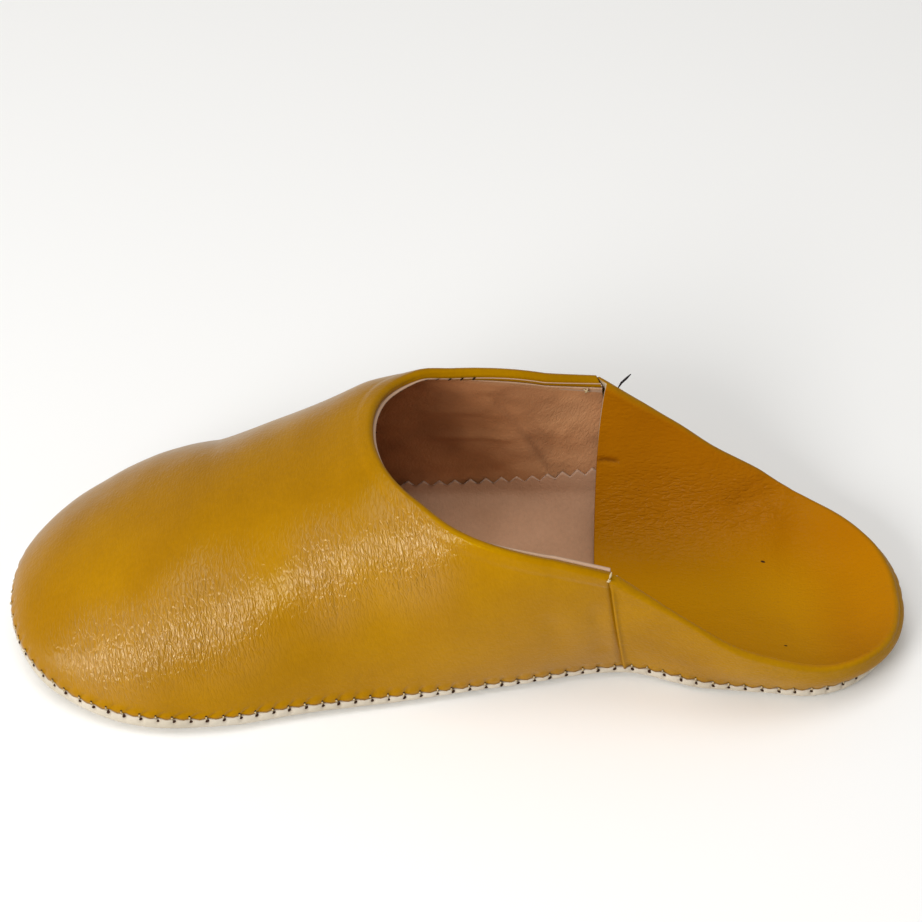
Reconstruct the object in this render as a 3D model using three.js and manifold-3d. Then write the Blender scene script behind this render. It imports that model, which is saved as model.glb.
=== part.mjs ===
// A soft leather babouche slipper for the right foot, in millimetres.
// +X runs from heel to toe, +Y to the shoe's left (inner) side and +Z up from the floor.
// Four pieces: a thin cupped outsole, an insole laid in it, a hollow vamp sewn to the outsole's rim,
// and a heel quarter whose top is folded down inside over the insole.

import * as THREE from "three";
import { mergeVertices } from "three/addons/utils/BufferGeometryUtils.js";
import Module from "manifold-3d";

const wasm = await Module();
wasm.setup();

// Driving dimensions
const LENGTH = 266;
const BALL_WIDTH = 103;
const HEEL_WIDTH = 70;
const THROAT_X = 24;
const THROAT_HEIGHT = 69;
const SEAM_TOP = 54.5;
const FOLD_HEIGHT = 14;

const SOLE_WALL = 2.6;
const INSOLE_WALL = 1.5;
const VAMP_WALL = 2;
const FLAP_WALL = 1.4;
const GAP = 0.3;
const FLAP_GAP = 0.5;
const ROLL = 0.6;
const QUARTER_WALL = VAMP_WALL + ROLL + GAP + FLAP_WALL;
const FOLD_WALL = 2.8;
const FOLD_NARROWS = 18;
const ROLL_WIDTH = 3.2;

const TOE_X = LENGTH / 2;
const HEEL_X = -LENGTH / 2;
const BALL_X = 72;
const HEEL_CENTRE_X = -98;
const SEAM_X = -50;
const SEAM_LEAN = 6;
const FLAP_EDGE_X = SEAM_X + SEAM_LEAN;
const RIM = 8;
const SOLE_BULGE = 1.2;
const TO_MIDDLE = LENGTH;
const INSOLE_INSET = 4.5;
const CUP_INSETS = [INSOLE_INSET, 6, RIM, TO_MIDDLE];
const CUP_LIP = 3.3;
const END_ROUNDNESS = 2.15;

// The sewn joint between sole and upper, and the bend of the whole shoe towards its inner side
const JOINT = [
  { x: HEEL_X, half: 0, z: 8.5, bend: 6.6 },
  { x: -120, half: HEEL_WIDTH / 2, z: 6, bend: 6.2 },
  { x: HEEL_CENTRE_X, half: HEEL_WIDTH / 2, z: 5, bend: 4.9 },
  { x: -74, half: 36, z: 5, bend: 1 },
  { x: -50, half: 34.6, z: 6, bend: -2.9 },
  { x: -18, half: 39.3, z: 4.8, bend: -3 },
  { x: 10, half: 43.5, z: 5, bend: -2 },
  { x: 44, half: 48, z: 6, bend: -0.5 },
  { x: BALL_X, half: BALL_WIDTH / 2, z: 6.8, bend: 2 },
  { x: 100, half: 47.5, z: 7.6, bend: 4.2 },
  { x: 120, half: 35, z: 9.6, bend: 5.2 },
  { x: TOE_X, half: 0, z: 12, bend: 5.5 },
];

// Vamp sections: each is an arch from the joint over two handles, belly and shoulder. In front
// its top is the crown; behind the throat it is cut off at the collar's edge, whose height is
// rim and whose middle is at bend.
const VAMP = [
  { x: SEAM_X, belly: 41, bellyZ: 22, shoulder: 44, shoulderZ: 40, rim: SEAM_TOP, bend: -0.7 },
  { x: -25, belly: 44, bellyZ: 22, shoulder: 45.5, shoulderZ: 47, rim: 60, bend: 0.8 },
  { x: 0, belly: 48, bellyZ: 34, shoulder: 48, shoulderZ: 66, rim: 64.3, bend: -0.8 },
  { x: 12, belly: 48.5, bellyZ: 42, shoulder: 45, shoulderZ: 71, rim: 66.8, bend: -4 },
  { x: THROAT_X, belly: 48.5, bellyZ: 46, shoulder: 39, shoulderZ: 70, rim: THROAT_HEIGHT, bend: -5 },
  { x: 43, belly: 50, bellyZ: 41, shoulder: 33, shoulderZ: 62, rim: 62, bend: -2 },
  { x: BALL_X, belly: 52, bellyZ: 30, shoulder: 27, shoulderZ: 51, rim: 51, bend: 2 },
  { x: 92, belly: 52, bellyZ: 28, shoulder: 27, shoulderZ: 41.8, rim: 41.8, bend: 3 },
];

// Crest of the quarter's fold, from the side seam to the back of the heel
const FOLD = [
  { x: HEEL_X, z: FOLD_HEIGHT, bend: 9 },
  { x: -123, z: 16, bend: 8.6 },
  { x: -108, z: 18.5, bend: 7.2 },
  { x: -93, z: 24.8, bend: 6.2 },
  { x: -80, z: 31.2, bend: 5.5 },
  { x: -67, z: 40, bend: 3.5 },
  { x: -44, z: SEAM_TOP, bend: -0.5 },
];
const FOLD_HALF = 44.5;
const FOLD_CENTRE_X = -66;
const FOLD_ROUNDNESS = 2.4;
const WALL_SWELL = 1.6;

const COLLAR_HALF = 41;
const COLLAR_SEAM_HALF = 44;
const COLLAR_CENTRE_X = -30;
const COLLAR_ROUNDNESS = 2.1;
const THROAT_BLEND = 16;
const CROWN_SLOPE = -0.42;
const TOE_LIFT = 8;
const SIDE_LIFT = 23;

// The underside rises off the floor under the foot's arch and towards both ends
const ARCH = 1.2;
const ARCH_X = -20;
const ARCH_REACH = 50;
const TOE_SPRING = 5.5;
const TOE_SPRING_X = 88;
const HEEL_SPRING = 2;
const HEEL_SPRING_X = -116;

// Places along the joint and angles round the ends where the pieces have their rows of points
const SIDE_RAYS = 17;
const FOREPART_X = [31, 40, 50, 61];
const TOE_RAYS = 26;
const HEEL_SIDE_RAYS = 8;
const HEEL_RAYS = 16;
const VAMP_ROWS = 15;
const SIDE_DEGREES = [0, 14, 32, 50, 70, 90];

// Smooth curve through one column of a table whose rows go up in x
function along(rows, column, x) {
  const last = rows.length - 1;
  if (x <= rows[0].x) return rows[0][column];
  if (x >= rows[last].x) return rows[last][column];
  let i = 0;
  while (rows[i + 1].x < x) i += 1;
  const slope = (k) => {
    const a = Math.max(k - 1, 0);
    const b = Math.min(k + 1, last);
    return (rows[b][column] - rows[a][column]) / (rows[b].x - rows[a].x);
  };
  const span = rows[i + 1].x - rows[i].x;
  const t = (x - rows[i].x) / span;
  const u = 1 - t;
  return (
    u * u * (1 + 2 * t) * rows[i][column] +
    t * t * (1 + 2 * u) * rows[i + 1][column] +
    u * u * t * span * slope(i) -
    t * t * u * span * slope(i + 1)
  );
}

// Half-width of an oval end at a share t of the way to its tip
function oval(t, roundness) {
  const clamped = Math.min(Math.max(t, 0), 1);
  return Math.pow(1 - Math.pow(clamped, roundness), 1 / roundness);
}

function mix(a, b, t) {
  return a + (b - a) * t;
}

// 0 to 1 with no kink at either end
function ease(t) {
  const clamped = Math.min(Math.max(t, 0), 1);
  return clamped * clamped * (3 - 2 * clamped);
}

function cubic(a, b, c, d, t) {
  const u = 1 - t;
  return u * u * u * a + 3 * u * u * t * b + 3 * u * t * t * c + t * t * t * d;
}

// Height of the sole's underside along its middle: flat under heel and ball
function underside(x) {
  const fromArch = Math.min(Math.abs(x - ARCH_X) / ARCH_REACH, 1);
  const arch = ARCH * Math.pow(1 - fromArch * fromArch, 2);
  const toe = TOE_SPRING * Math.pow(Math.max(x - TOE_SPRING_X, 0) / (TOE_X - TOE_SPRING_X), 2);
  const heel = HEEL_SPRING * Math.pow(Math.max(HEEL_SPRING_X - x, 0) / (HEEL_SPRING_X - HEEL_X), 2);
  return arch + toe + heel;
}

// A ray goes from the middle line of the sole out to the joint, on one side of the shoe
function sideRay(x, side) {
  const half = along(JOINT, "half", x);
  return { x, side, edge: [x, side * half], middle: [x, 0], turn: 1 };
}

function endRay(centre, tip, half, angle, side) {
  const power = 2 / END_ROUNDNESS;
  const turn = Math.cos(angle);
  const x = centre + Math.pow(Math.sin(angle), power) * (tip - centre);
  return { x, side, edge: [x, side * Math.pow(turn, power) * half], middle: [centre, 0], turn };
}

// Rays of one side, from the seam forwards to the tip of the toe
function vampRays(side) {
  const rays = [];
  for (let i = 0; i < SIDE_RAYS; i += 1) {
    const t = i / (SIDE_RAYS - 1);
    rays.push(sideRay(THROAT_X - (THROAT_X - SEAM_X) * (1 - Math.sin((t * Math.PI) / 2)), side));
  }
  for (const x of FOREPART_X) rays.push(sideRay(x, side));
  for (let i = 0; i <= TOE_RAYS / 2; i += 1) {
    rays.push(endRay(BALL_X, TOE_X, BALL_WIDTH / 2, (i / TOE_RAYS) * Math.PI, side));
  }
  return rays;
}

// Rays of one side, from the seam backwards to the tip of the heel
function heelRays(side) {
  const rays = [];
  for (let i = 0; i < HEEL_SIDE_RAYS; i += 1) {
    rays.push(sideRay(mix(FLAP_EDGE_X, HEEL_CENTRE_X, i / HEEL_SIDE_RAYS), side));
  }
  for (let i = 0; i <= HEEL_RAYS / 2; i += 1) {
    rays.push(endRay(HEEL_CENTRE_X, HEEL_X, HEEL_WIDTH / 2, (i / HEEL_RAYS) * Math.PI, side));
  }
  return rays;
}

// Point on a ray, a distance in from the joint, at a height above the sole's underside
function onRay(ray, inset, height) {
  const dx = ray.middle[0] - ray.edge[0];
  const dy = ray.middle[1] - ray.edge[1];
  const reach = Math.hypot(dx, dy);
  const share = Math.min(inset / reach, 1);
  const x = ray.edge[0] + dx * share;
  const y = ray.edge[1] + dy * share;
  return [x, y + along(JOINT, "bend", x), underside(x) + height];
}

// Height of the cup's inner face above the underside
function cupInside(ray, inset) {
  const rise = along(JOINT, "z", ray.x) - underside(ray.x) - SOLE_WALL;
  return SOLE_WALL + rise * (1 - oval(1 - (inset - SOLE_WALL) / (RIM - SOLE_WALL), 2));
}

// Triangles between two rows of points, which may run together at one end
function strip(triangles, a, b) {
  for (let i = 0; i + 1 < a.length; i += 1) {
    triangles.push([a[i], b[i], b[i + 1]], [a[i], b[i + 1], a[i + 1]]);
  }
}

// Triangles over a closed outline, facing the toe
function cap(triangles, outline) {
  const flat = outline.map((p) => new THREE.Vector2(p[1], p[2]));
  for (const face of THREE.ShapeUtils.triangulateShape(flat, [])) {
    const turned = THREE.ShapeUtils.area(face.map((i) => flat[i])) < 0;
    const corners = face.map((i) => outline[i]);
    triangles.push(turned ? corners.reverse() : corners);
  }
}

// A geometry from triangles, with shared points merged, slivers dropped and faces pointing out
function geometryOf(triangles) {
  const soup = new THREE.BufferGeometry();
  soup.setAttribute("position", new THREE.Float32BufferAttribute(triangles.flat(2), 3));
  const merged = mergeVertices(soup, 1e-3);
  const index = [];
  for (let i = 0; i < merged.index.count; i += 3) {
    const [a, b, c] = [0, 1, 2].map((k) => merged.index.getX(i + k));
    if (a !== b && b !== c && c !== a) index.push(a, b, c);
  }
  merged.setIndex(index);
  if (volumeOf(merged) < 0) merged.setIndex(index.reverse());
  merged.computeVertexNormals();
  return merged;
}

function volumeOf(geometry) {
  const position = geometry.attributes.position;
  const corner = [0, 1, 2].map(() => new THREE.Vector3());
  let volume = 0;
  for (let i = 0; i < geometry.index.count; i += 3) {
    corner.forEach((v, k) => v.fromBufferAttribute(position, geometry.index.getX(i + k)));
    volume += corner[0].dot(corner[1].cross(corner[2])) / 6;
  }
  return volume;
}

// Triangles of a face that is a row per ray
function faceOver(triangles, rays, rowOf, flip) {
  rowsOver(triangles, rays.map(rowOf), flip);
}

function rowsOver(triangles, rows, flip) {
  for (let i = 0; i + 1 < rows.length; i += 1) {
    if (flip) strip(triangles, rows[i + 1], rows[i]);
    else strip(triangles, rows[i], rows[i + 1]);
  }
}

// Both sides' rays as one run round the end
function roundTheEnd(raysOf) {
  const near = raysOf(1);
  const far = raysOf(-1);
  return [...near, ...far.reverse().slice(1)];
}

const TOE_RUN = roundTheEnd(vampRays);
const HEEL_RUN = roundTheEnd(heelRays);
const WHOLE_RUN = [...TOE_RUN, ...HEEL_RUN.filter((ray) => ray.x < SEAM_X).reverse(), TOE_RUN[0]];

// The sole's side: a quarter oval from the joint down to the flat, swelling a little past the joint
function soleSide(ray) {
  const rise = along(JOINT, "z", ray.x) - underside(ray.x);
  const row = SIDE_DEGREES.map((degrees) => {
    const angle = (degrees * Math.PI) / 180;
    const inset = RIM * (1 - Math.cos(angle)) - SOLE_BULGE * Math.sin(2 * angle);
    return onRay(ray, inset, rise * (1 - Math.sin(angle)));
  });
  return [...row, onRay(ray, TO_MIDDLE, 0)];
}

function outsoleGeometry() {
  const triangles = [];
  const inner = [SOLE_WALL, CUP_LIP, ...CUP_INSETS];
  const inside = (ray) => inner.map((inset) => onRay(ray, inset, cupInside(ray, inset)));
  faceOver(triangles, WHOLE_RUN, soleSide, true);
  faceOver(triangles, WHOLE_RUN, inside, false);
  faceOver(triangles, WHOLE_RUN, (ray) => [soleSide(ray)[0], inside(ray)[0]], false);
  return geometryOf(triangles);
}

function insoleGeometry() {
  const triangles = [];
  const rowAt = (lift) => (ray) => CUP_INSETS.map((inset) => onRay(ray, inset, cupInside(ray, inset) + lift));
  const under = rowAt(GAP);
  const over = rowAt(GAP + INSOLE_WALL);
  faceOver(triangles, WHOLE_RUN, under, true);
  faceOver(triangles, WHOLE_RUN, over, false);
  faceOver(triangles, WHOLE_RUN, (ray) => [under(ray)[0], over(ray)[0]], false);
  return geometryOf(triangles);
}

// Sideways place of the collar's edge, closing to nothing at the throat
function collarHalf(x) {
  return collarWide(x) * oval((x - COLLAR_CENTRE_X) / (THROAT_X - COLLAR_CENTRE_X), COLLAR_ROUNDNESS);
}

function collarWide(x) {
  const back = Math.max(COLLAR_CENTRE_X - x, 0) / (COLLAR_CENTRE_X - SEAM_X);
  return mix(COLLAR_HALF, COLLAR_SEAM_HALF, back);
}

// Sideways place of the arch's top, which opens smoothly behind the throat
function topHalf(x) {
  return collarWide(x) * ease((THROAT_X - x) / (THROAT_X - COLLAR_CENTRE_X));
}

// The vamp's arch over one ray: four points, each [along the shoe, sideways, up]
function vampArch(ray) {
  const x = ray.edge[0];
  const reach = x - ray.middle[0];
  const inToe = x >= BALL_X;
  const station = inToe ? BALL_X : x;
  const row = (column) => along(VAMP, column, station);
  const joint = Math.abs(ray.edge[1]);
  const jointZ = jointTop(x);
  const widest = along(JOINT, "half", station);
  const outward = (row("belly") - widest) / Math.hypot(reach, joint);
  const handle = row("shoulder") / widest;
  const lift = mix(TOE_LIFT, SIDE_LIFT, Math.pow(ray.turn, 3));
  const shoulderZ = row("shoulderZ") + CROWN_SLOPE * reach * handle;
  return [
    [x, joint, jointZ],
    [x + outward * reach, joint * (1 + outward), inToe ? jointZ + lift : row("bellyZ")],
    [x - reach * (1 - handle), inToe ? joint * handle : row("shoulder"), shoulderZ],
    [ray.middle[0], topHalf(station), row("rim")],
  ];
}

// Share of the arch that is left below the collar's edge: where it last lies that far out
function collarShare(ray, arch) {
  const edge = collarHalf(ray.edge[0]);
  const out = (t) => cubic(arch[0][1], arch[1][1], arch[2][1], arch[3][1], t);
  const step = 0.01;
  let share = 1;
  while (share > 0 && out(share) < edge) share -= step;
  if (share <= 0) return 1;
  let past = Math.min(share + step, 1);
  for (let i = 0; i < 20; i += 1) {
    const middle = (share + past) / 2;
    if (out(middle) < edge) past = middle;
    else share = middle;
  }
  return share;
}

// The vamp's outer face over one ray, from the joint up to the collar or the crown
function vampRow(ray) {
  const arch = vampArch(ray);
  const share = collarShare(ray, arch);
  const rest = cubic(arch[0][2], arch[1][2], arch[2][2], 0, share);
  const forRim = (arch[3][2] - rest) / Math.pow(share, 3);
  const behind = ease((THROAT_X - ray.edge[0]) / THROAT_BLEND);
  arch[3][2] = mix(arch[3][2], forRim, behind);
  const station = Math.min(ray.edge[0], BALL_X);
  const lean = SEAM_LEAN * Math.pow(Math.max(-station, 0) / -SEAM_X, 1.5);
  const low = along(JOINT, "bend", ray.edge[0]);
  const high = mix(low, along(VAMP, "bend", station), mix(share, 1, behind));
  const row = [];
  for (let j = 0; j < VAMP_ROWS; j += 1) {
    const height = j / (VAMP_ROWS - 1);
    const [x, y, z] = [0, 1, 2].map((k) => cubic(...arch.map((point) => point[k]), height * share));
    row.push([x + lean * height, ray.side * y + mix(low, high, height), z]);
  }
  return row;
}

// Rows of the vamp's outer face, with the seam's edge moved along the shoe
function vampRows(rays, seamShift) {
  return rays.map((ray) => {
    const shift = ray.x === SEAM_X ? seamShift : 0;
    return vampRow(ray).map(([x, y, z]) => [x + shift, y, z]);
  });
}

function vampGeometry() {
  const triangles = [];
  rowsOver(triangles, vampRows(TOE_RUN, GAP / 2), false);
  return thicken(triangles, vampWall);
}

// How far the vamp's two faces lie out from and in from its curve: the collar's edge is rolled
function vampWall(toCollar) {
  const rolled = toCollar < ROLL_WIDTH ? ROLL * Math.sqrt(1 - Math.pow(toCollar / ROLL_WIDTH, 2)) : 0;
  return { out: rolled, in: VAMP_WALL + rolled };
}

// A closed wall from an open sheet of triangles: two faces along its normals and the edges between
function thicken(triangles, wallAt) {
  const sheet = geometryOf(triangles);
  const { position, normal } = sheet.attributes;
  const index = Array.from(sheet.index.array);
  const used = new Map();
  for (let i = 0; i < index.length; i += 3) {
    for (let k = 0; k < 3; k += 1) {
      const a = index[i + k];
      const b = index[i + ((k + 1) % 3)];
      used.set(`${a},${b}`, [a, b]);
    }
  }
  const edges = [...used.values()].filter(([a, b]) => !used.has(`${b},${a}`));
  const pointAt = (i) => new THREE.Vector3().fromBufferAttribute(position, i);
  const points = Array.from({ length: position.count }, (_, i) => pointAt(i));
  const collar = [...new Set(edges.flat())].map((i) => points[i]).filter((p) => p.z > SEAM_TOP - 0.5);
  const faces = points.map((p, i) => {
    const n = new THREE.Vector3().fromBufferAttribute(normal, i);
    if (p.z < jointTop(p.x) + 0.01) n.z = 0;
    if (Math.abs(p.x - seamLine(p.z)) < 2) n.x = 0;
    n.normalize();
    const wall = wallAt(Math.min(...collar.map((q) => q.distanceTo(p))));
    return [wall.out, -wall.in].map((d) => p.clone().addScaledVector(n, d).toArray());
  });
  const closed = [];
  for (let i = 0; i < index.length; i += 3) {
    const [a, b, c] = [0, 1, 2].map((k) => faces[index[i + k]]);
    closed.push([a[0], b[0], c[0]], [a[1], c[1], b[1]]);
  }
  for (const [a, b] of edges.map((edge) => edge.map((i) => faces[i]))) {
    closed.push([b[0], a[0], a[1]], [b[0], a[1], b[1]]);
  }
  return geometryOf(closed);
}

// The side seam leans forwards as it goes up
function seamLine(z) {
  const foot = jointTop(SEAM_X);
  return SEAM_X + (SEAM_LEAN * (z - foot)) / (SEAM_TOP - foot);
}

function jointTop(x) {
  return along(JOINT, "z", x) + GAP;
}

// The fold's crest over a ray of the heel
function foldPoint(ray) {
  const half = FOLD_HALF * oval((FOLD_CENTRE_X - ray.x) / (FOLD_CENTRE_X - HEEL_X), FOLD_ROUNDNESS);
  return [ray.x, ray.side * half + along(FOLD, "bend", ray.x), along(FOLD, "z", ray.x)];
}

const FLAP_LIFT = GAP + INSOLE_WALL + FLAP_GAP;
const FLAP_FOOT = 17;
const FLAP_DISH = 9;
const FLAP_STEEP = 40;
const WALL_ROWS = 5;
const FOLD_ROWS = 4;
const FLAP_ROWS = 10;
const CUT_REACH = 6;

// One row over the quarter: up its wall, over the fold and down the flap to the middle
function quarterTop(ray) {
  const joint = onRay(ray, 0, 0);
  joint[2] = jointTop(ray.x);
  const crest = foldPoint(ray);
  const inward = new THREE.Vector2(ray.middle[0] - ray.edge[0], ray.middle[1] - ray.edge[1]).normalize();
  const shift = (p, d, z) => [p[0] + inward.x * d, p[1] + inward.y * d, z];
  const wall = mix(QUARTER_WALL, FOLD_WALL, ease((SEAM_X - ray.x) / FOLD_NARROWS));
  const radius = wall / 2;
  const shoulder = crest[2] - radius;
  const row = [];
  for (let j = 0; j < WALL_ROWS; j += 1) {
    const t = j / WALL_ROWS;
    const z = mix(joint[2], shoulder, t);
    const swell = -WALL_SWELL * Math.sin(t * Math.PI);
    row.push(shift([mix(joint[0], crest[0], t), mix(joint[1], crest[1], t)], swell, z));
  }
  for (let j = 0; j <= FOLD_ROWS; j += 1) {
    const angle = (j / FOLD_ROWS) * Math.PI;
    row.push(shift(crest, radius * (1 - Math.cos(angle)), shoulder + radius * Math.sin(angle)));
  }
  const start = row[row.length - 1];
  const floor = flapFloor(ray, TO_MIDDLE);
  const depth = start[2] - floor[2];
  const handle = shift(start, mix(FLAP_DISH, wall, ease(depth / FLAP_STEEP)), start[2] - depth / 2);
  const low = flapFloor(ray, FLAP_FOOT);
  for (let j = 1; j <= FLAP_ROWS; j += 1) {
    const t = j / FLAP_ROWS;
    const [x, y, z] = [0, 1, 2].map((k) => cubic(start[k], handle[k], low[k], floor[k], t));
    const inset = (x - joint[0]) * inward.x + (y - joint[1]) * inward.y;
    row.push([x, y, Math.max(z, flapFloor(ray, Math.max(inset, INSOLE_INSET))[2])]);
  }
  return row;
}

// Lowest place of the flap's upper face, just over the insole
function flapFloor(ray, inset) {
  return onRay(ray, inset, cupInside(ray, inset) + FLAP_LIFT + FLAP_WALL);
}

// One row under the quarter: the foot of its wall, then the flap's underside
function quarterUnder(ray) {
  const top = jointTop(ray.x);
  const joint = onRay(ray, 0, 0);
  const foot = onRay(ray, SOLE_WALL, 0);
  const rest = [...CUP_INSETS.slice(0, -1), FLAP_FOOT, TO_MIDDLE].map((inset) => {
    const p = onRay(ray, inset, cupInside(ray, inset) + FLAP_LIFT);
    return [p[0], p[1], inset < RIM ? Math.max(p[2], top) : p[2]];
  });
  return [[joint[0], joint[1], top], [foot[0], foot[1], top], ...rest];
}

// The quarter is folded leather: its outer leaf stops at the side seams, cut by the vamp's own
// curve, and its inner leaf, the flap, runs on inside the vamp to its straight free edge
function quarterGeometry() {
  const triangles = [];
  faceOver(triangles, HEEL_RUN, quarterTop, false);
  faceOver(triangles, HEEL_RUN, quarterUnder, true);
  for (const ray of [HEEL_RUN[0], HEEL_RUN[HEEL_RUN.length - 1]]) {
    cap(triangles, [...quarterTop(ray), ...quarterUnder(ray).reverse().slice(0, -1)]);
  }
  let solid = solidOf(geometryOf(triangles));
  const clear = () => ({ out: CUT_REACH, in: VAMP_WALL + ROLL + GAP });
  for (const run of [TOE_RUN, TOE_RUN.slice().reverse()]) {
    const cutter = [];
    const rows = vampRows(run.slice(0, 3), -GAP / 2).map((row) => {
      const [x, y, z] = row[0];
      const [topX, topY, topZ] = row[row.length - 1];
      return [[x, y, z - GAP], ...row.slice(1), [topX, topY, topZ + QUARTER_WALL]];
    });
    rowsOver(cutter, rows, run !== TOE_RUN);
    solid = solid.subtract(solidOf(thicken(cutter, clear)));
  }
  return fromSolid(solid);
}

// A closed geometry as a solid that can be joined and cut, and back
function solidOf(geometry) {
  const bare = new THREE.BufferGeometry();
  bare.setAttribute("position", geometry.attributes.position);
  bare.setIndex(geometry.index);
  const vertProperties = new Float32Array(bare.attributes.position.array);
  const triVerts = new Uint32Array(bare.index.array);
  return new wasm.Manifold(new wasm.Mesh({ numProp: 3, vertProperties, triVerts }));
}

function fromSolid(solid) {
  const mesh = solid.getMesh();
  const geometry = new THREE.BufferGeometry();
  geometry.setAttribute("position", new THREE.BufferAttribute(mesh.vertProperties, 3));
  geometry.setIndex(new THREE.BufferAttribute(mesh.triVerts, 1));
  geometry.computeVertexNormals();
  return geometry;
}

function piece(name, geometry, color, roughness) {
  const material = new THREE.MeshStandardMaterial({ color, roughness, metalness: 0 });
  const mesh = new THREE.Mesh(geometry, material);
  mesh.name = name;
  return mesh;
}

const slipper = new THREE.Group();
slipper.add(
  piece("outsole", outsoleGeometry(), 0xcdb896, 0.7),
  piece("insole", insoleGeometry(), 0xa57f66, 0.85),
  piece("vamp", vampGeometry(), 0xb07a02, 0.42),
  piece("heel_quarter", quarterGeometry(), 0xa9710a, 0.45),
);

// The origin is under the middle of the whole slipper, on the floor
const box = new THREE.Box3().setFromObject(slipper);
const middle = box.getCenter(new THREE.Vector3());
slipper.position.set(-middle.x, -middle.y, -box.min.z);

export default slipper;
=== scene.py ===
"""A soft leather babouche slipper for the right foot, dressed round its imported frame.

Forms are worked out in millimetres: +X from heel to toe, +Y to the shoe's inner side, +Z up from
the floor. Each piece is moved into the frame, in metres, when its mesh is made.
"""

import math
from itertools import product

import bpy
import numpy as np
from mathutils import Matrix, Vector


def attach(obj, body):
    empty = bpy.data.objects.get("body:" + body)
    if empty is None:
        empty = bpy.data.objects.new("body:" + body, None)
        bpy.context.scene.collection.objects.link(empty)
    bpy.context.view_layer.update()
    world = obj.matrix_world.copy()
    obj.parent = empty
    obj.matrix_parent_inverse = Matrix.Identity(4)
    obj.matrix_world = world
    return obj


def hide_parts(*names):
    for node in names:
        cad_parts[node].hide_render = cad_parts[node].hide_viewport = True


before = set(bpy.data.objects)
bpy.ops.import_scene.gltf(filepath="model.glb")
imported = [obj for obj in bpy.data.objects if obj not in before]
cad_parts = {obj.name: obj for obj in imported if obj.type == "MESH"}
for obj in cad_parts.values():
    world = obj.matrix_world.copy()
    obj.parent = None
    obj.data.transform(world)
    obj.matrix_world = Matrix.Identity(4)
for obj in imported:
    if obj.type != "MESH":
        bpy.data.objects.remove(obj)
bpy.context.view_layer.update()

# The shoe's own sizes
LENGTH = 266
BALL_WIDTH = 103
HEEL_WIDTH = 70
THROAT_X = 24
THROAT_HEIGHT = 69
SEAM_TOP = 54.5
FOLD_HEIGHT = 14

SOLE_WALL = 2.6
INSOLE_WALL = 1.5
VAMP_WALL = 2
FLAP_WALL = 1.4
GAP = 0.3
FLAP_GAP = 0.5
ROLL = 0.6
QUARTER_WALL = VAMP_WALL + ROLL + GAP + FLAP_WALL
FOLD_WALL = 2.8
FOLD_NARROWS = 18
FLAP_LIFT = GAP + INSOLE_WALL + FLAP_GAP
FLAP_FOOT = 17
FLAP_DISH = 12
FOLD_LEAVES = math.radians(118)
FLAP_STEEP = 40
WALL_SWELL = 1.6

TOE_X = LENGTH / 2
HEEL_X = -LENGTH / 2
BALL_X = 72
HEEL_CENTRE_X = -98
SEAM_X = -50
SEAM_LEAN = 6
FLAP_EDGE_X = SEAM_X + SEAM_LEAN
RIM = 8
SOLE_BULGE = 1.2
END_ROUNDNESS = 2.15
ARCH_X = -20
ARCH_HALF = 50
ARCH_HEIGHT = 1.2
TOE_SPRING_X = 88
TOE_SPRING = 5.5
HEEL_SPRING_X = -116
HEEL_SPRING = 2

# From the shoe's own axes to the frame's, whose origin is under the middle of its box
TO_FRAME = np.array([0.6, -2.08, 0.0])

# The sewn joint between sole and upper, and the bend of the whole shoe towards its inner side
JOINT = {
    "x": [HEEL_X, -120, HEEL_CENTRE_X, -74, -50, -18, 10, 44, BALL_X, 100, 120, TOE_X],
    "half": [0, HEEL_WIDTH / 2, HEEL_WIDTH / 2, 36, 34.6, 39.3, 43.5, 48, BALL_WIDTH / 2, 47.5, 35, 0],
    "z": [8.5, 6, 5, 5, 6, 4.8, 5, 6, 6.8, 7.6, 9.6, 12],
    "bend": [6.6, 6.2, 4.9, 1, -2.9, -3, -2, -0.5, 2, 4.2, 5.2, 5.5],
}

# Sections of the vamp: the handles of its arch, the height of its top and its middle
VAMP = {
    "x": [SEAM_X, -25, 0, 12, THROAT_X, 43, BALL_X, 92],
    "belly": [41, 44, 48, 48.5, 48.5, 50, 52, 52],
    "belly_z": [22, 22, 34, 42, 46, 41, 30, 28],
    "shoulder": [44, 45.5, 48, 45, 39, 33, 27, 27],
    "shoulder_z": [40, 47, 66, 71, 70, 62, 51, 41.8],
    "rim": [SEAM_TOP, 60, 64.3, 66.8, THROAT_HEIGHT, 62, 51, 41.8],
    "bend": [-0.7, 0.8, -0.8, -4, -5, -2, 2, 3],
}

# Crest of the quarter's fold
FOLD = {
    "x": [HEEL_X, -123, -108, -93, -80, -67, FLAP_EDGE_X],
    "z": [FOLD_HEIGHT, 16, 18.5, 24.8, 31.2, 40, SEAM_TOP],
    "bend": [9, 8.6, 7.2, 6.2, 5.5, 3.5, -0.5],
}
FOLD_HALF = 44.5
FOLD_CENTRE_X = -66
FOLD_ROUNDNESS = 2.4

COLLAR_HALF = 41
COLLAR_SEAM_HALF = 44
COLLAR_CENTRE_X = -30
COLLAR_ROUNDNESS = 2.1
THROAT_BLEND = 16
CROWN_SLOPE = -0.42
TOE_LIFT = 8
SIDE_LIFT = 23


# Curves and surfaces
def along(rows, column, x):
    """Smooth curve through one column of a table whose rows go up in x."""
    at = np.asarray(rows["x"], float)
    value = np.asarray(rows[column], float)
    last = len(at) - 1
    before = np.maximum(np.arange(last + 1) - 1, 0)
    after = np.minimum(np.arange(last + 1) + 1, last)
    slope = (value[after] - value[before]) / (at[after] - at[before])
    x = np.clip(x, at[0], at[-1])
    i = np.clip(np.searchsorted(at, x, side="right") - 1, 0, last - 1)
    span = at[i + 1] - at[i]
    t = (x - at[i]) / span
    u = 1 - t
    return (
        u * u * (1 + 2 * t) * value[i]
        + t * t * (1 + 2 * u) * value[i + 1]
        + u * u * t * span * slope[i]
        - t * t * u * span * slope[i + 1]
    )


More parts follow.
